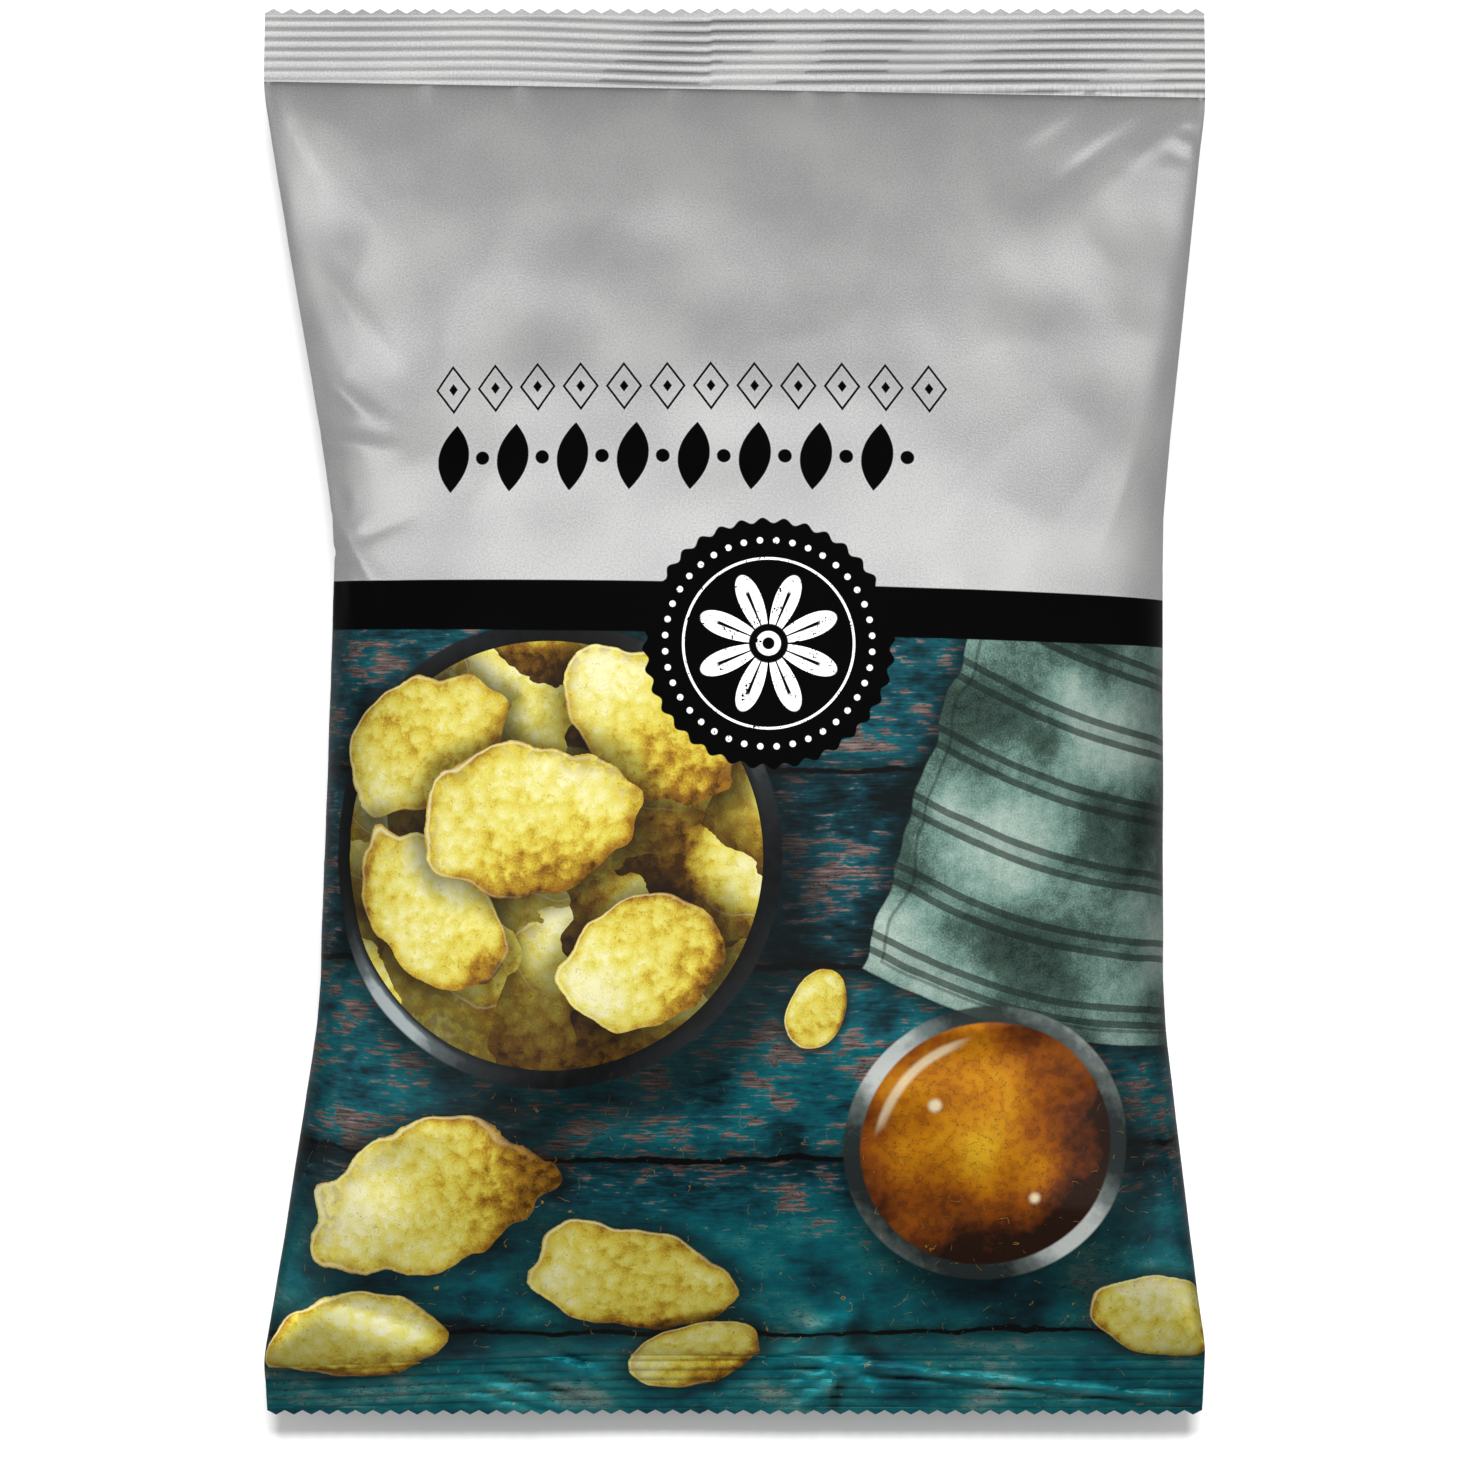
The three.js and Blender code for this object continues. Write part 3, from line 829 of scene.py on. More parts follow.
class Field:
    """A number at every point of the print: a socket times a scale plus an offset.

    Adding or multiplying by plain numbers only changes the scale and the offset, so that a
    formula needs few nodes and the picture renders fast."""

    def __init__(self, tree, socket, scale=1.0, offset=0.0):
        self.tree, self.socket, self.scale, self.offset = tree, socket, scale, offset

    def output(self):
        """A socket that gives the number itself."""
        if self.scale == 1 and self.offset == 0:
            return self.socket
        return self.calc("MULTIPLY_ADD", self.socket, self.scale, self.offset).socket

    def calc(self, operation, *values):
        """What one math node makes of fields, sockets and plain numbers."""
        step = add_node(self.tree, "ShaderNodeMath", operation=operation)
        for place, value in enumerate(values):
            plug(self.tree, value, step.inputs[place])
        return Field(self.tree, step.outputs[0])

    def unscaled(self, number):
        """What the socket gives where the field is the number."""
        return (number - self.offset) / self.scale

    def __add__(self, other):
        if not isinstance(other, Field):
            return Field(self.tree, self.socket, self.scale, self.offset + other)
        both = self.calc("MULTIPLY_ADD", self.socket, self.scale / other.scale, other.socket)
        return Field(self.tree, both.socket, other.scale, self.offset + other.offset)

    def __mul__(self, other):
        if not isinstance(other, Field):
            return Field(self.tree, self.socket, self.scale * other, self.offset * other)
        if self.offset or other.offset:
            return self.calc("MULTIPLY", self, other)
        product = self.calc("MULTIPLY", self.socket, other.socket)
        return Field(self.tree, product.socket, self.scale * other.scale)

    def __neg__(self):
        return self * -1

    def __sub__(self, other):
        return self + -other

    def __rsub__(self, other):
        return -self + other

    def __truediv__(self, other):
        return self.calc("DIVIDE", self, other) if isinstance(other, Field) else self * (1 / other)

    def __pow__(self, power):
        return self.calc("POWER", self, power)

    def __abs__(self):
        return self.calc("ABSOLUTE", self)

    __radd__ = __add__
    __rmul__ = __mul__

    def sin(self):
        return self.calc("SINE", self)

    def part(self):
        """What is left after the whole numbers are taken off."""
        return self.calc("FRACT", self)

    def below(self, number):
        """1 where it is less than a number, else 0, with no soft edge."""
        test = "LESS_THAN" if self.scale > 0 else "GREATER_THAN"
        return self.calc(test, self.socket, self.unscaled(number))

    def at_most(self, number):
        limit = "MINIMUM" if self.scale > 0 else "MAXIMUM"
        limited = self.calc(limit, self.socket, self.unscaled(number))
        return Field(self.tree, limited.socket, self.scale, self.offset)

    def at_least(self, number):
        return -(-self).at_most(-number)

    def joined(self, other):
        """The greater of two masks."""
        return self.calc("MAXIMUM", self, other)

    def step(self, start, end, low=0.0, high=1.0):
        """Low before start, high after end, smooth between; end may be the smaller of the two."""
        ends = {0: self.socket, 1: self.unscaled(start), 2: self.unscaled(end), 3: low, 4: high}
        node = add_node(self.tree, "ShaderNodeMapRange", ends, interpolation_type="SMOOTHSTEP", clamp=False)
        return Field(self.tree, node.outputs[0])

    def within(self, low, high, soft):
        """1 between low and high, else 0, with soft edges of this width inside them."""
        return self.step(low, low + soft) * self.step(high, high - soft)


def length_of(x, y):
    return x.calc("SQRT", x * x + y * y)


def apart(tree, vector):
    """The x and y of a vector, as fields."""
    node = add_node(tree, "ShaderNodeSeparateXYZ", {0: vector})
    return Field(tree, node.outputs[0]), Field(tree, node.outputs[1])


def vector_math(tree, operation, *values):
    """The two outputs of a vector math node: a vector, and a number."""
    inputs = dict(enumerate(values))
    return add_node(tree, "ShaderNodeVectorMath", inputs, operation=operation).outputs


def dot(tree, one, other):
    return Field(tree, vector_math(tree, "DOT_PRODUCT", one, other)[1])


def vector(tree, x, y, z):
    return add_node(tree, "ShaderNodeCombineXYZ", {0: x, 1: y, 2: z}).outputs[0]


def mixed(tree, share, under, over, kind="RGBA"):
    """Over laid on under, as thick as share says: colours, vectors or single numbers."""
    first, last = {"FLOAT": (2, 0), "VECTOR": (4, 1), "RGBA": (6, 2)}[kind]
    node = add_node(tree, "ShaderNodeMix", {0: share, first: under, first + 1: over}, data_type=kind)
    return node.outputs[last]


def colour_ramp(tree, value, stops):
    """A colour picked by a value, from stops of (place, colour)."""
    node = add_node(tree, "ShaderNodeValToRGB", {0: value})
    elements = node.color_ramp.elements
    while len(elements) < len(stops):
        elements.new(0.5)
    for element, (place, colour) in zip(elements, stops):
        element.position = place
        element.color = srgb(*colour)
    return node.outputs[0]


def noise(tree, vector, scale, detail=2, stretch=(1, 1, 1), roughness=0.5):
    """Soft random numbers round 0.5, so many to the millimetre."""
    scaled = vector_math(tree, "MULTIPLY", vector, stretch)[0]
    inputs = {"Vector": scaled, "Scale": scale, "Detail": detail, "Roughness": roughness}
    return Field(tree, add_node(tree, "ShaderNodeTexNoise", inputs, noise_dimensions="2D").outputs[0])


def cell_pattern(tree, vector, cell):
    """The outputs of a texture of cells that are about so many millimetres wide."""
    inputs = {"Vector": vector, "Scale": 1 / cell}
    return add_node(tree, "ShaderNodeTexVoronoi", inputs, voronoi_dimensions="2D").outputs


def new_group(name, inputs, outputs):
    """An empty node group with its sockets, given as names and kinds."""
    tree = bpy.data.node_groups.new(name, "ShaderNodeTree")
    for in_out, sockets in (("INPUT", inputs), ("OUTPUT", outputs)):
        for label, kind in sockets.items():
            tree.interface.new_socket(label, in_out=in_out, socket_type="NodeSocket" + kind)
    entry = tree.nodes.new("NodeGroupInput")
    leave = tree.nodes.new("NodeGroupOutput")
    return tree, entry.outputs, leave.inputs


def use_group(tree, group, inputs):
    """The outputs of a group, used in a tree with the given inputs."""
    node = add_node(tree, "ShaderNodeGroup", node_tree=group)
    for name, value in inputs.items():
        plug(tree, value, node.inputs[name])
    return node.outputs


print("helpers for the print are ready")

# %% [markdown]
# ## Laying crisps in the picture
#
# A picture of many crisps needs few nodes when they are all coloured together. One group lays
# a crisp over what is there: where the crisp covers a point, it gives that point its own
# place in the crisp, and round the crisp it leaves a shadow. Colour comes once, at the end.

# %% Laying crisps in the picture
crisp_inputs = {"Place": "Vector", "Along": "Vector", "Across": "Vector", "Tone": "Float", "Edge": "Float",
                "Wobble": "Float", "Local": "Vector", "Shade": "Float"}
crisp_group, given, result = new_group("crisp_laid", crisp_inputs, {"Local": "Vector", "Shade": "Float"})
tree = crisp_group
along, across = dot(tree, given["Place"], given["Along"]), dot(tree, given["Place"], given["Across"])
own = vector(tree, along, across, given["Tone"])
radius = dot(tree, own, own) + Field(tree, given["Wobble"]) - Field(tree, given["Edge"])
covers = radius.below(0)
shade = radius.step(-0.1, 1.0, 0.3, 1.0) * Field(tree, given["Shade"])
plug(tree, mixed(tree, covers, given["Local"], own, "VECTOR"), result["Local"])
plug(tree, mixed(tree, covers, shade, 1.0, "FLOAT"), result["Shade"])


def lay_crisp(tree, place, wobble, state, centre, turn, size, tone):
    """The state (local place, shade) with one crisp laid over it, with its turn in degrees."""
    cosine, sine = math.cos(math.radians(turn)), math.sin(math.radians(turn))
    rows = []
    for x, y, half in ((cosine, sine, size[0]), (-sine, cosine, size[1])):
        rows.append((x / half, y / half, -(x * centre[0] + y * centre[1]) / half))
    laid = use_group(tree, crisp_group, {
        "Place": place, "Along": rows[0], "Across": rows[1], "Tone": tone, "Edge": 1 + tone ** 2,
        "Wobble": wobble, "Local": state[0], "Shade": state[1],
    })
    return laid["Local"], laid["Shade"]


print("nodes to lay one crisp:", len(crisp_group.nodes))

# %% [markdown]
# ## Painted boards
#
# The picture's ground is a row of old boards with peeling teal paint. Stretched noise gives
# the grain, sharp-edged noise the bare spots, and a line every board's width the gaps.

# %% Painted boards
boards_inputs = {name: "Float" for name in ("Y", "Patches", "Grain", "Fibres")}
boards_group, given, result = new_group("painted_boards", boards_inputs, {"Color": "Color"})
tree = boards_group
y, patches, grain, fibres = [Field(tree, given[name]) for name in boards_inputs]
BOARD = 41.0
BOTTOM_EDGE = -120
board = (y + 12 + 5 * (patches - 0.5)) / BOARD
number = board.calc("FLOOR", board)
from_gap = (board.part() - 0.5) * BOARD
at_bottom = y.step(BOTTOM_EDGE + 25, BOTTOM_EDGE)
rough = grain * 0.40 + fibres * 0.18 - 0.29
paint = patches * 0.85 + rough * (1 - 0.7 * at_bottom)
paint = paint + 0.06 * (number * 2.4).sin() + 0.12 + 0.12 * at_bottom
colour = colour_ramp(tree, paint, [
    (0.30, (3, 17, 19)), (0.43, (7, 46, 54)), (0.53, (11, 76, 88)), (0.64, (5, 104, 112)),
    (0.75, (42, 126, 128)), (0.9, (134, 162, 154)),
])
bare = (grain * 0.6 + patches * 0.7 + fibres * 0.15 - 0.2 * at_bottom).step(0.765, 0.805)
wood = colour_ramp(tree, fibres, [(0.3, (62, 42, 38)), (0.55, (122, 94, 88)), (0.8, (164, 136, 128))])
colour = mixed(tree, bare * 0.85, colour, wood)
cracks = abs(grain + 0.25 * patches - 0.70).step(0.016, 0.0) * patches.step(0.40, 0.62)
colour = mixed(tree, cracks * 0.9, colour, srgb(4, 9, 9))
edge = BOARD / 2 - abs(from_gap)
colour = mixed(tree, edge.step(5.5, 0) * 0.65, colour, srgb(4, 12, 14))
colour = mixed(tree, edge.step(0.75, 0.45), colour, srgb(1, 3, 4))
tree.links.new(colour, result["Color"])
print("boards", BOARD, "mm wide")

# %% [markdown]
# ## The print of the whole web
#
# The print is made by a few groups of nodes. The first turns a place on the web into
# millimetres from the middle of the front, and the second makes the noises. The third lays the
# picture, one thing over the other: the boards, a striped cloth, a dark bowl, a dish of amber
# dip and the crisps. Every place is one on the flat film, so the print bends and shifts with
# the folds like real ink.

# %% The print of the whole web
FRONT_MIDDLE = (LEFT_FOLD + RIGHT_FOLD) / 2
film_at_middle = np.interp(0, skin[:, int(FRONT_MIDDLE), 1], film_along)
NOISES = {
    # scale, detail, roughness, stretch in x and y
    "Wobble": (0.075, 1, 0.5, (1, 1)),
    "Blisters": (0.45, 2, 0.5, (1, 1)),
    "Fine": (2.4, 1, 0.5, (1, 1)),
    "Patches": (0.045, 4, 0.62, (1, 1.7)),
    "Grain": (0.5, 3, 0.65, (0.28, 1)),
    "Fibres": (2.2, 2, 0.5, (0.09, 1)),
    "Clouds": (0.045, 3, 0.5, (1, 1)),
}
HEAP_CELL = 23
BUBBLE_CELL = 3.4
TINY = 0.0001  # adds so little of a value that it only sets the order of the nodes
place_group, given, result = new_group("place_on_web", {"Web": "Vector"}, {"Place": "Vector"})
web_size = (AROUND * CELL, FILM_LENGTH, 1)
to_middle = (-FRONT_MIDDLE * CELL, -film_at_middle, 0)
in_mm = vector_math(place_group, "MULTIPLY_ADD", given["Web"], web_size, to_middle)[0]
plug(place_group, in_mm, result["Place"])


def noises(tree, place, names):
    """The noises of these names, as fields."""
    found = []
    for name in names:
        scale, detail, roughness, stretch = NOISES[name]
        found.append(noise(tree, place, scale, detail, (*stretch, 1), roughness))
    return found


picture_names = [name for name in NOISES if name != "Clouds"]
fields_group, given, result = new_group("picture_fields", {"Place": "Vector"}, {
    name: "Float" for name in ("X", "Y", "Cell X", "Cell Y", "Cell Tone", "Bubbles", *picture_names)})
tree = fields_group
x, y = apart(tree, given["Place"])
found = dict(zip(picture_names, noises(tree, given["Place"], picture_names)))
for name, field in found.items():
    plug(tree, field, result[name])
warped = vector(tree, x + 16 * found["Wobble"], y + 14 * found["Patches"], 0)
cells = cell_pattern(tree, warped, HEAP_CELL)
cell_x, cell_y = apart(tree, cells["Position"])
cell_tone = apart(tree, cells["Color"])[0]
warped = vector(tree, x + 3 * found["Blisters"], y + 4 * found["Blisters"] + TINY * cell_tone, 0)
bubbles = cell_pattern(tree, warped, BUBBLE_CELL)["Distance"]
misprint = 0.05 * found["Fine"] + TINY * (cell_x + Field(tree, bubbles))
measured = {"X": x + misprint, "Y": y + misprint, "Cell X": x - cell_x, "Cell Y": y - cell_y,
            "Cell Tone": cell_tone, "Bubbles": bubbles}
for name, field in measured.items():
    plug(tree, field, result[name])
print("values for the picture:", len(result) - 1)

picture_group, given, picture_result = new_group("picture_print", {"Place": "Vector"}, {"Color": "Color"})
tree = picture_group
fields = use_group(tree, fields_group, {"Place": given["Place"]})
x, y, wobble, blisters, fine, bubbles = [
    Field(tree, fields[name]) for name in ("X", "Y", "Wobble", "Blisters", "Fine", "Bubbles")]
board_fields = {name: fields[name] for name in ("Patches", "Grain", "Fibres")}
colour = use_group(tree, boards_group, {"Y": y, **board_fields})["Color"]
place = vector(tree, x, y, 1)


def disc(centre):
    """Distance from a centre, in millimetres."""
    return Field(tree, vector_math(tree, "DISTANCE", place, (*centre, 1))["Value"])


DARK_UNDER = srgb(3, 9, 10)
CLOTH_CORNER, CLOTH_TURN = (28, -54), math.radians(-17)
STRIPE_PITCH = 15
cloth_cosine, cloth_sine = math.cos(CLOTH_TURN), math.sin(CLOTH_TURN)
cloth_x, cloth_y = x - CLOTH_CORNER[0], y - CLOTH_CORNER[1]
cloth_u = cloth_x * cloth_cosine + cloth_y * cloth_sine + 5 * wobble
cloth_v = cloth_y * cloth_cosine - cloth_x * cloth_sine + 4 * (cloth_u / 21).sin()
from_hem = cloth_u.calc("MINIMUM", cloth_u, cloth_v)
colour = mixed(tree, from_hem.step(-6, 0.5) * 0.8, colour, DARK_UNDER)
wide_folds = ((cloth_u - 0.55 * cloth_v) / 8.5 + 3 * wobble).sin()
narrow_folds = ((cloth_v + 0.3 * cloth_u) / 5.5).sin()
drape = 0.5 + 0.22 * wide_folds + 0.14 * narrow_folds + 0.3 * (blisters - 0.5) + 0.35 * (fine - 0.5)
linen = colour_ramp(tree, drape, [
    (0.0, (14, 26, 22)), (0.35, (66, 92, 82)), (0.6, (118, 150, 140)), (1.0, (186, 204, 192)),
])
from_stripe = abs((cloth_v / STRIPE_PITCH + 0.1).part() - 0.5)
stripes = from_stripe.step(0.17, 0.155) - 0.8 * from_stripe.step(0.07, 0.055)
linen = mixed(tree, stripes * 0.75, linen, srgb(20, 34, 30))
linen = mixed(tree, abs(from_hem - 3).step(0.5, 0.2) * 0.5, linen, srgb(16, 26, 24))
colour = mixed(tree, from_hem.step(-0.2, 0.3), colour, linen)

BOWL, BOWL_RADIUS = (-40, -30), 49
from_bowl = disc(BOWL)
shadow_of_bowl = disc((BOWL[0] + 5, BOWL[1] - 7)).step(BOWL_RADIUS + 10, BOWL_RADIUS - 3)
colour = mixed(tree, shadow_of_bowl * 0.85, colour, DARK_UNDER)
rim_light = 0.5 + 0.5 * ((y - x) / 16 + 1).sin()
rim = colour_ramp(tree, rim_light * from_bowl.step(BOWL_RADIUS - 5, BOWL_RADIUS - 2) + 0.15 * blisters, [
    (0.05, (10, 11, 12)), (0.5, (42, 46, 48)), (0.85, (96, 104, 106)), (1.0, (170, 180, 180)),
])
colour = mixed(tree, from_bowl.step(BOWL_RADIUS + 0.3, BOWL_RADIUS - 0.3), colour, rim)

DISH, DISH_RADIUS = (52, -92), 30
from_dish = disc(DISH)
shadow_of_dish = disc((DISH[0] + 4, DISH[1] - 6)).step(DISH_RADIUS + 9, DISH_RADIUS - 2)
colour = mixed(tree, shadow_of_dish * 0.8, colour, DARK_UNDER)
glass = colour_ramp(tree, 0.5 + 0.5 * ((x + y) / 9).sin() + 0.3 * (blisters - 0.5), [
    (0.1, (40, 48, 46)), (0.5, (112, 122, 118)), (0.9, (214, 220, 216)),
])
colour = mixed(tree, from_dish.step(DISH_RADIUS + 0.3, DISH_RADIUS - 0.3) * 0.9, colour, glass)
depth = (from_dish + 0.25 * (x - DISH[0]) - 0.35 * (y - DISH[1])) / DISH_RADIUS
amber = colour_ramp(tree, depth + 0.8 * (wobble - 0.5) + 0.3 * (blisters - 0.5), [
    (0.0, (226, 172, 34)), (0.3, (196, 124, 8)), (0.55, (152, 80, 8)), (0.8, (98, 46, 12)),
    (1.0, (40, 20, 10)),
])
colour = mixed(tree, from_dish.step(DISH_RADIUS - 3.2, DISH_RADIUS - 3.8), colour, amber)
herbs = (blisters * 3 + fine * 0.6).part().step(0.10, 0.02)
herbs = herbs * from_dish.step(DISH_RADIUS - 5, DISH_RADIUS - 8)
colour = mixed(tree, herbs * 0.75, colour, srgb(52, 26, 12))
to_light = (y - DISH[1]) - (x - DISH[0]) + 3 * wobble
arc = abs(from_dish - 22.6).step(1.5, 0.4) * to_light.step(27, 31) * 0.75
for glint_centre, glint_size in (((41, -83), 1.5), ((62, -104), 1.2)):
    arc = arc.joined(disc(glint_centre).step(glint_size + 0.5, glint_size - 0.9))
colour = mixed(tree, arc * 0.85, colour, srgb(250, 236, 196))

print("cloth, bowl and dish are drawn with", len(tree.nodes), "nodes")

# %% [markdown]
# ## The crisps of the picture
#
# In the bowl a whole layer of crisps comes from one Voronoi texture: each cell is a crisp,
# turned by its cell's random number. A few are laid over them one by one, and so are the
# loose ones on the boards. Then all get their colour together: blisters, a curl that is light
# on one side, browned edges and brown specks.

# %% The crisps of the picture
in_bowl = from_bowl.below(BOWL_RADIUS - 4)
cell_x, cell_y, cell_tone = [Field(tree, fields[name]) for name in ("Cell X", "Cell Y", "Cell Tone")]
cell_turn = cell_tone * 40
cosine, sine = cell_turn.calc("COSINE", cell_turn), cell_turn.sin()
along = (cell_x * cosine + cell_y * sine) / 15
across = (cell_y * cosine - cell_x * sine) / 12
in_cell = vector(tree, along, across, cell_tone)
FAR_OFF = (9, 9, 0)
cell_shade = (1.45 - length_of(cell_x, cell_y) / 16).at_most(0.95).at_least(0.3)
state = (mixed(tree, in_bowl, FAR_OFF, in_cell, "VECTOR"), mixed(tree, in_bowl, 1.0, cell_shade, "FLOAT"))
outline_wobble = 0.95 * (wobble - 0.5) + 0.07 * (blisters - 0.5)
LAID = [
    # centre, turn in degrees, half length and half width, tone
    ((-68, -6), 30, (19, 14), 0.30),
    ((-18, -2), -35, (20, 14), 0.66),
    ((-66, -42), -50, (20, 13), 0.50),
    ((-20, -52), 25, (19, 13), 0.20),
    ((-44, -22), 10, (23, 16), 0.80),
    ((-64, -104), 24, (26, 16), 0.62),
    ((-22, -121), -14, (22, 12), 0.28),
    ((-78, -136), 8, (20, 11), 0.86),
    ((-8, -142), 24, (15, 9), 0.74),
    ((16, -62), 66, (9, 6), 0.35),
    ((88, -133), -20, (15, 9), 0.50),
]
for crisp in LAID:
    state = lay_crisp(tree, place, outline_wobble, state, *crisp)
print("crisps laid one by one:", len(LAID))
parts = add_node(tree, "ShaderNodeSeparateXYZ", {0: state[0]}).outputs
along, across, tone = [Field(tree, part) for part in parts]
shade = Field(tree, state[1])
radius = along * along + across * across + outline_wobble
inside = radius.step(1.03, 0.97).joined(in_bowl)
bend = (along * 2.3 + across * 0.9 + 1.5 * wobble + tone * 14).sin()
second_bend = (across * 3.1 - along * 0.8 + tone * 9).sin()
light = 0.57 + 0.13 * bend + 0.07 * second_bend + 0.11 * (across - along) + 0.30 * (0.42 - bubbles)
light = light + 0.38 * (blisters - 0.5) + 0.22 * (fine - 0.5) - 0.26 * radius.step(0.55, 1.0)
crisp_colour = colour_ramp(tree, light, [
    (0.0, (84, 52, 10)), (0.18, (156, 110, 26)), (0.33, (200, 166, 48)), (0.46, (224, 206, 78)),
    (0.62, (234, 224, 120)), (0.85, (246, 241, 186)),
])
browned = radius.step(0.50, 1.02) * (0.15 + 0.55 * tone) * blisters.step(0.35, 0.6)
crisp_colour = mixed(tree, browned, crisp_colour, srgb(152, 104, 28))
specks = (blisters * 2.5 + wobble * 3.1 + tone).part().step(0.035, 0.0) * 0.7
crisp_colour = mixed(tree, specks, crisp_colour, srgb(98, 60, 18))
rim = abs(radius - 0.94).step(0.055, 0.0) * (0.5 + 0.5 * (across - along)).at_least(0)
crisp_colour = mixed(tree, rim * 0.6, crisp_colour, srgb(246, 240, 190))
colour = mixed(tree, inside, colour, crisp_colour)
colour = mixed(tree, 1 - shade, colour, srgb(16, 10, 6))
crumbs = (wobble * 5.3 + 0.4 * blisters).part().step(0.03, 0.0)
crumbs = crumbs * blisters.step(0.56, 0.6) * y.step(-70, -100)
colour = mixed(tree, crumbs * 0.9, colour, srgb(186, 140, 48))
vignette = (abs(x) / 100).step(0.62, 1.05) * 0.35
colour = mixed(tree, vignette, colour, DARK_UNDER)
PANEL_X, PANEL_Y = (128, 172), (-105, 5)  # a pale panel on the back
on_panel = x.within(*PANEL_X, 0.2) * y.within(*PANEL_Y, 0.2)
colour = mixed(tree, on_panel, colour, srgb(222, 222, 216))
tree.links.new(colour, picture_result["Color"])
print("nodes in the picture:", len(tree.nodes))

# %% [markdown]
# ## The black band and the round seal
#
# The band and the seal lie partly on the silver film and partly on the picture, so they are a
# group of their own. The seal has a scalloped edge, a ring of dots and a rosette, and its ink
# is a little worn. Black ink hides the metal below it: Ink says where.

# %% The black band and the round seal
band_inputs = {"Place": "Vector", "Fine": "Float", "Blisters": "Float", "Color": "Color"}
band_group, given, result = new_group("band_and_seal", band_inputs, {"Color": "Color", "Ink": "Float"})
tree = band_group
x, y = apart(tree, given["Place"])
fine, blisters = Field(tree, given["Fine"]), Field(tree, given["Blisters"])
BAND_TOP, BAND_BOTTOM, BAND_TILT = 27.0, 16.4, 0.020
level = y + BAND_TILT * x.at_most(100).at_least(-100)
band = level.within(BAND_BOTTOM - 0.15, BAND_TOP + 0.15, 0.3)

SEAL, SEAL_RADIUS = (6.0, 14.4), 25.6
seal_x, seal_y = x - SEAL[0], y - SEAL[1]
from_seal = length_of(seal_x, seal_y)
angle = seal_x.calc("ARCTAN2", seal_y, seal_x)
scallop = from_seal - 0.55 * (angle * 36).sin()
seal = scallop.step(SEAL_RADIUS + 0.15, SEAL_RADIUS - 0.15)
DOT_RING, DOTS = 21.4, 40
dot_turn = ((angle / (2 * math.pi) * DOTS).part() - 0.5) * (2 * math.pi * DOT_RING / DOTS)
dots = length_of(dot_turn, from_seal - DOT_RING).step(0.75, 0.5)
petal_turn = abs((angle * 4).sin())
petals = (petal_turn ** 0.7 * 15.5 - from_seal).step(0.2, 0.6) * from_seal.step(3.9, 4.3)
veins = petal_turn.step(0.985, 0.995) * from_seal.step(12, 11)
heart = abs(from_seal - 1.9).step(0.75, 0.5)
thin_ring = abs(from_seal - 17.6).step(0.32, 0.18)
worn = (fine * 0.6 + blisters * 0.5).step(0.38, 0.44)
pale = (petals * (1 - veins)).joined(heart).joined(thin_ring).joined(dots) * worn
ink = band.joined(seal)
colour = mixed(tree, ink, given["Color"], srgb(1, 1, 1))
colour = mixed(tree, pale * seal, colour, srgb(226, 227, 224))
tree.links.new(colour, result["Color"])
plug(tree, ink, result["Ink"])
print("nodes in the band and the seal:", len(tree.nodes))

# %% [markdown]
# ## Bare silver film and its ornaments
#
# Above the band the film is left unprinted, but for two rows of ornaments: outlined lozenges,
# and below them solid seeds with a dot between each two. Their black hides the metal as well.

# %% Bare silver film and its ornaments
silver_group, given, result = new_group("silver_print", {"Place": "Vector", "Clouds": "Float"},
                                        {"Color": "Color", "Ink": "Float"})
tree = silver_group
x, y = apart(tree, given["Place"])
ROWS_START = -64.0
LOZENGE_PITCH, LOZENGE_Y, LOZENGES = 9.0, 68.5, 12


def only_over(length):
    """1 from the start of the rows over a length of them, else 0."""
    return x.within(ROWS_START, ROWS_START + length + 0.01, 0.01)


lozenge = abs(((x - ROWS_START) / LOZENGE_PITCH).part() - 0.5) * 2 + abs(y - LOZENGE_Y) / 6.2
lozenges = abs(lozenge - 0.78).step(0.085, 0.05).joined(lozenge.step(0.24, 0.19))
lozenges = lozenges * only_over(LOZENGES * LOZENGE_PITCH)
SEED_PITCH, SEED_Y, SEEDS = 12.6, 53.6, 8
seed_x = ((x - ROWS_START) / SEED_PITCH).part() * SEED_PITCH
seed = abs(seed_x - 4.4 - 0.12 * (y - SEED_Y)) / 3.3 + ((y - SEED_Y) / 7.2) ** 2
spot = length_of(seed_x - 10.6, y - SEED_Y)
seeds = seed.step(1.03, 0.97).joined(spot.step(1.55, 1.35)) * only_over(SEEDS * SEED_PITCH)
ink = lozenges.joined(seeds)
silver = colour_ramp(tree, Field(tree, given["Clouds"]), [(0.25, (201, 201, 201)), (0.75, (221, 221, 220))])
tree.links.new(mixed(tree, ink, silver, srgb(1, 1, 1)), result["Color"])
plug(tree, ink, result["Ink"])
print("nodes in the silver part:", len(tree.nodes))

# %% [markdown]
# ## The camera, the floor and the light
#
# The photograph looks straight on to the bag from far away, which a long lens high above it
# does here. Shiny film shows the lights that it mirrors: a wide one overhead, a weak one at each
# side and the dim room. A small strong lamp behind the bag casts the shadow in front of it.

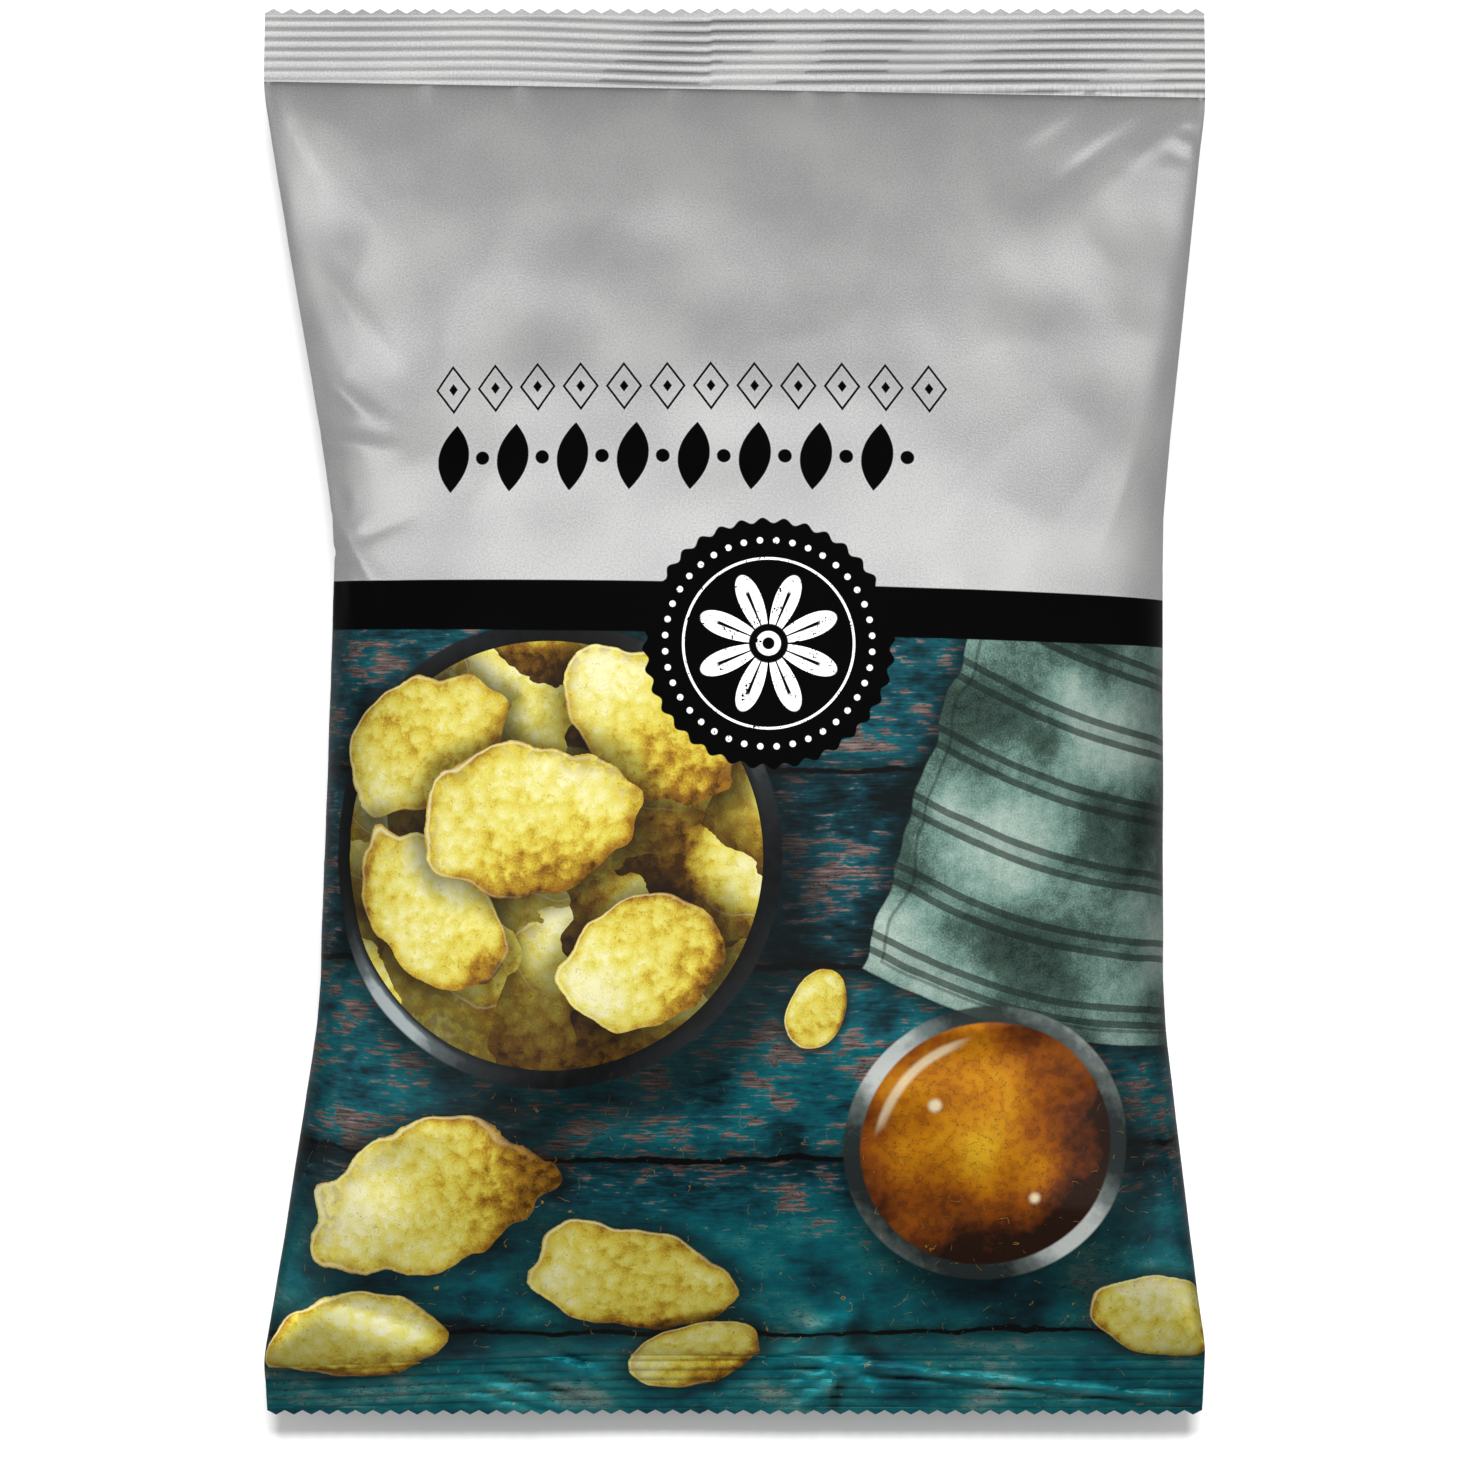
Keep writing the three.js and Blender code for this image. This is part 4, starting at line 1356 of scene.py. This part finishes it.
# %% The camera, the floor and the light
VIEW_WIDTH = 313
LENS = 135
SENSOR = 36
VIEW_CENTRE = (0.5, -5)
ROOM_LIGHT = 0.31
FLOOR_GREY = 0.82
camera_height = WELD_HEIGHT + VIEW_WIDTH * LENS / SENSOR
camera_data = bpy.data.cameras.new("camera")
camera_data.lens = LENS
camera_data.sensor_width = SENSOR
camera_data.clip_end = 10
camera = bpy.data.objects.new("camera", camera_data)
camera.location = (VIEW_CENTRE[0] * MM, VIEW_CENTRE[1] * MM, camera_height * MM)
bpy.context.scene.collection.objects.link(camera)
bpy.context.scene.camera = camera

deselect_all()
bpy.ops.mesh.primitive_plane_add(size=6, location=(0, 0, 0))
floor = bpy.context.object
floor.name = "floor"
floor.visible_glossy = False  # the bag's edges mirror the dim room instead of the white floor


def softbox(name, place, size, watts):
    """A rectangular light that looks at the middle of the bag."""
    lamp = bpy.data.lights.new(name, "AREA")
    lamp.shape = "RECTANGLE"
    lamp.size, lamp.size_y = size
    lamp.energy = watts
    holder = bpy.data.objects.new(name, lamp)
    holder.location = place
    holder.rotation_euler = (Vector() - Vector(place)).to_track_quat("-Z", "Y").to_euler()
    bpy.context.scene.collection.objects.link(holder)
    return holder


softbox("overhead", (0, 0.05, 1.7), (1.9, 1.7), 7.2)
for side, watts in ((-1, 3.0), (1, 2.8)):
    softbox("side_light", (side * 1.15, -0.2, 0.9), (1.1, 1.4), watts)
key = softbox("key", (0.03, 0.62, 1.6), (0.5, 0.35), 46)
key.visible_glossy = False  # it only casts the shadow; the film mirrors the other lights
bpy.context.scene.view_settings.view_transform = "Standard"

world = bpy.data.worlds.new("studio")
bpy.context.scene.world = world
world.use_nodes = True
world.node_tree.nodes["Background"].inputs["Color"].default_value = (1, 1, 1, 1)
world.node_tree.nodes["Background"].inputs["Strength"].default_value = ROOM_LIGHT

white = bpy.data.materials.new("white_floor")
white.use_nodes = True
shader = white.node_tree.nodes["Principled BSDF"]
shader.inputs["Base Color"].default_value = (FLOOR_GREY, FLOOR_GREY, FLOOR_GREY, 1)
shader.inputs["Roughness"].default_value = 0.8
floor.data.materials.append(white)
print(f"camera {camera_height:.0f} mm over the table")

# %% [markdown]
# ## Film and ink
#
# Metallised film has a thin coat of aluminium inside. Bare it is silver, and through the thin
# inks of the picture the metal still shows, so that a fold lights up in the ink's own colour.
# Black is printed thick and hides it. The base colour is darkened by painted shade in the grooves
# of the welds and where the film leaves them, and lightened by painted highlights on the crests,
# the low folds and the puckers. The bag wears two materials that meet within the black band,
# because a renderer then works out the picture only where the picture is.

# %% Film and ink
# how much the painted shade darkens the base colour, and the painted highlight lightens it
PAINTED_SHADE = 0.62
BARE_METAL, PICTURE_METAL = 0.9, 0.82
COAT, COAT_ROUGHNESS = 0.25, 0.2
SPECULAR = 0.04
ROUGHNESS, ROUGHER = 0.30, 0.16  # the least, and how much more the clouds add


def film_material(name, has_picture):
    """Satin film, either with the picture or bare silver with ornaments."""
    material = bpy.data.materials.new(name)
    material.use_nodes = True
    tree = material.node_tree
    shader = tree.nodes["Principled BSDF"]
    web = add_node(tree, "ShaderNodeUVMap", uv_map="web").outputs[0]
    place = use_group(tree, place_group, {"Web": web})["Place"]
    fine, blisters, clouds = noises(tree, place, ("Fine", "Blisters", "Clouds"))
    if has_picture:
        under = use_group(tree, picture_group, {"Place": place})["Color"]
        metal, printed = PICTURE_METAL, None
    else:
        printed = use_group(tree, silver_group, {"Place": place, "Clouds": clouds + 1.2 * (fine - 0.5)})
        under, metal = printed["Color"], BARE_METAL
    over = use_group(tree, band_group, {"Place": place, "Fine": fine, "Blisters": blisters, "Color": under})
    ink = Field(tree, over["Ink"])
    if printed:
        ink = ink.joined(Field(tree, printed["Ink"]))
    unhidden = 1 - ink
    # the painted shade and painted highlight from the mesh darken or lighten the base colour
    painted_shade_and_sheen = Field(tree, add_node(tree, "ShaderNodeAttribute", attribute_name="painted_shade_and_sheen").outputs["Fac"])
    shaded = add_node(tree, "ShaderNodeVectorMath", {0: over["Color"], "Scale": 1 - PAINTED_SHADE * painted_shade_and_sheen},
                      operation="SCALE").outputs[0]
    tree.links.new(shaded, shader.inputs["Base Color"])
    plug(tree, unhidden * metal, shader.inputs["Metallic"])
    plug(tree, unhidden * COAT, shader.inputs["Coat Weight"])
    shader.inputs["Specular IOR Level"].default_value = SPECULAR
    shader.inputs["Coat Roughness"].default_value = COAT_ROUGHNESS
    plug(tree, ROUGHNESS + ROUGHER * clouds, shader.inputs["Roughness"])
    bump = add_node(tree, "ShaderNodeBump", {"Strength": 0.3, "Distance": 0.0001, "Height": fine})
    tree.links.new(bump.outputs[0], shader.inputs["Normal"])
    return material


BARE, PICTURE = 0, 1
SPLIT = (film_at_middle + (BAND_TOP + BAND_BOTTOM) / 2) / FILM_LENGTH
bag.data.materials.append(film_material("silver_film", False))
bag.data.materials.append(film_material("picture_film", True))
flap.data.materials.append(bag.data.materials[BARE])
face_webs = np.empty(len(bag.data.loops) * 2, np.float32)
bag.data.uv_layers["web"].data.foreach_get("uv", face_webs)
first_corners = np.empty(len(bag.data.polygons), np.int32)
bag.data.polygons.foreach_get("loop_start", first_corners)
below_split = face_webs.reshape(-1, 2)[first_corners, 1] < SPLIT
bag.data.polygons.foreach_set("material_index", np.where(below_split, PICTURE, BARE).astype(np.int32))
print("faces with the picture:", int(below_split.sum()), "of", len(below_split))
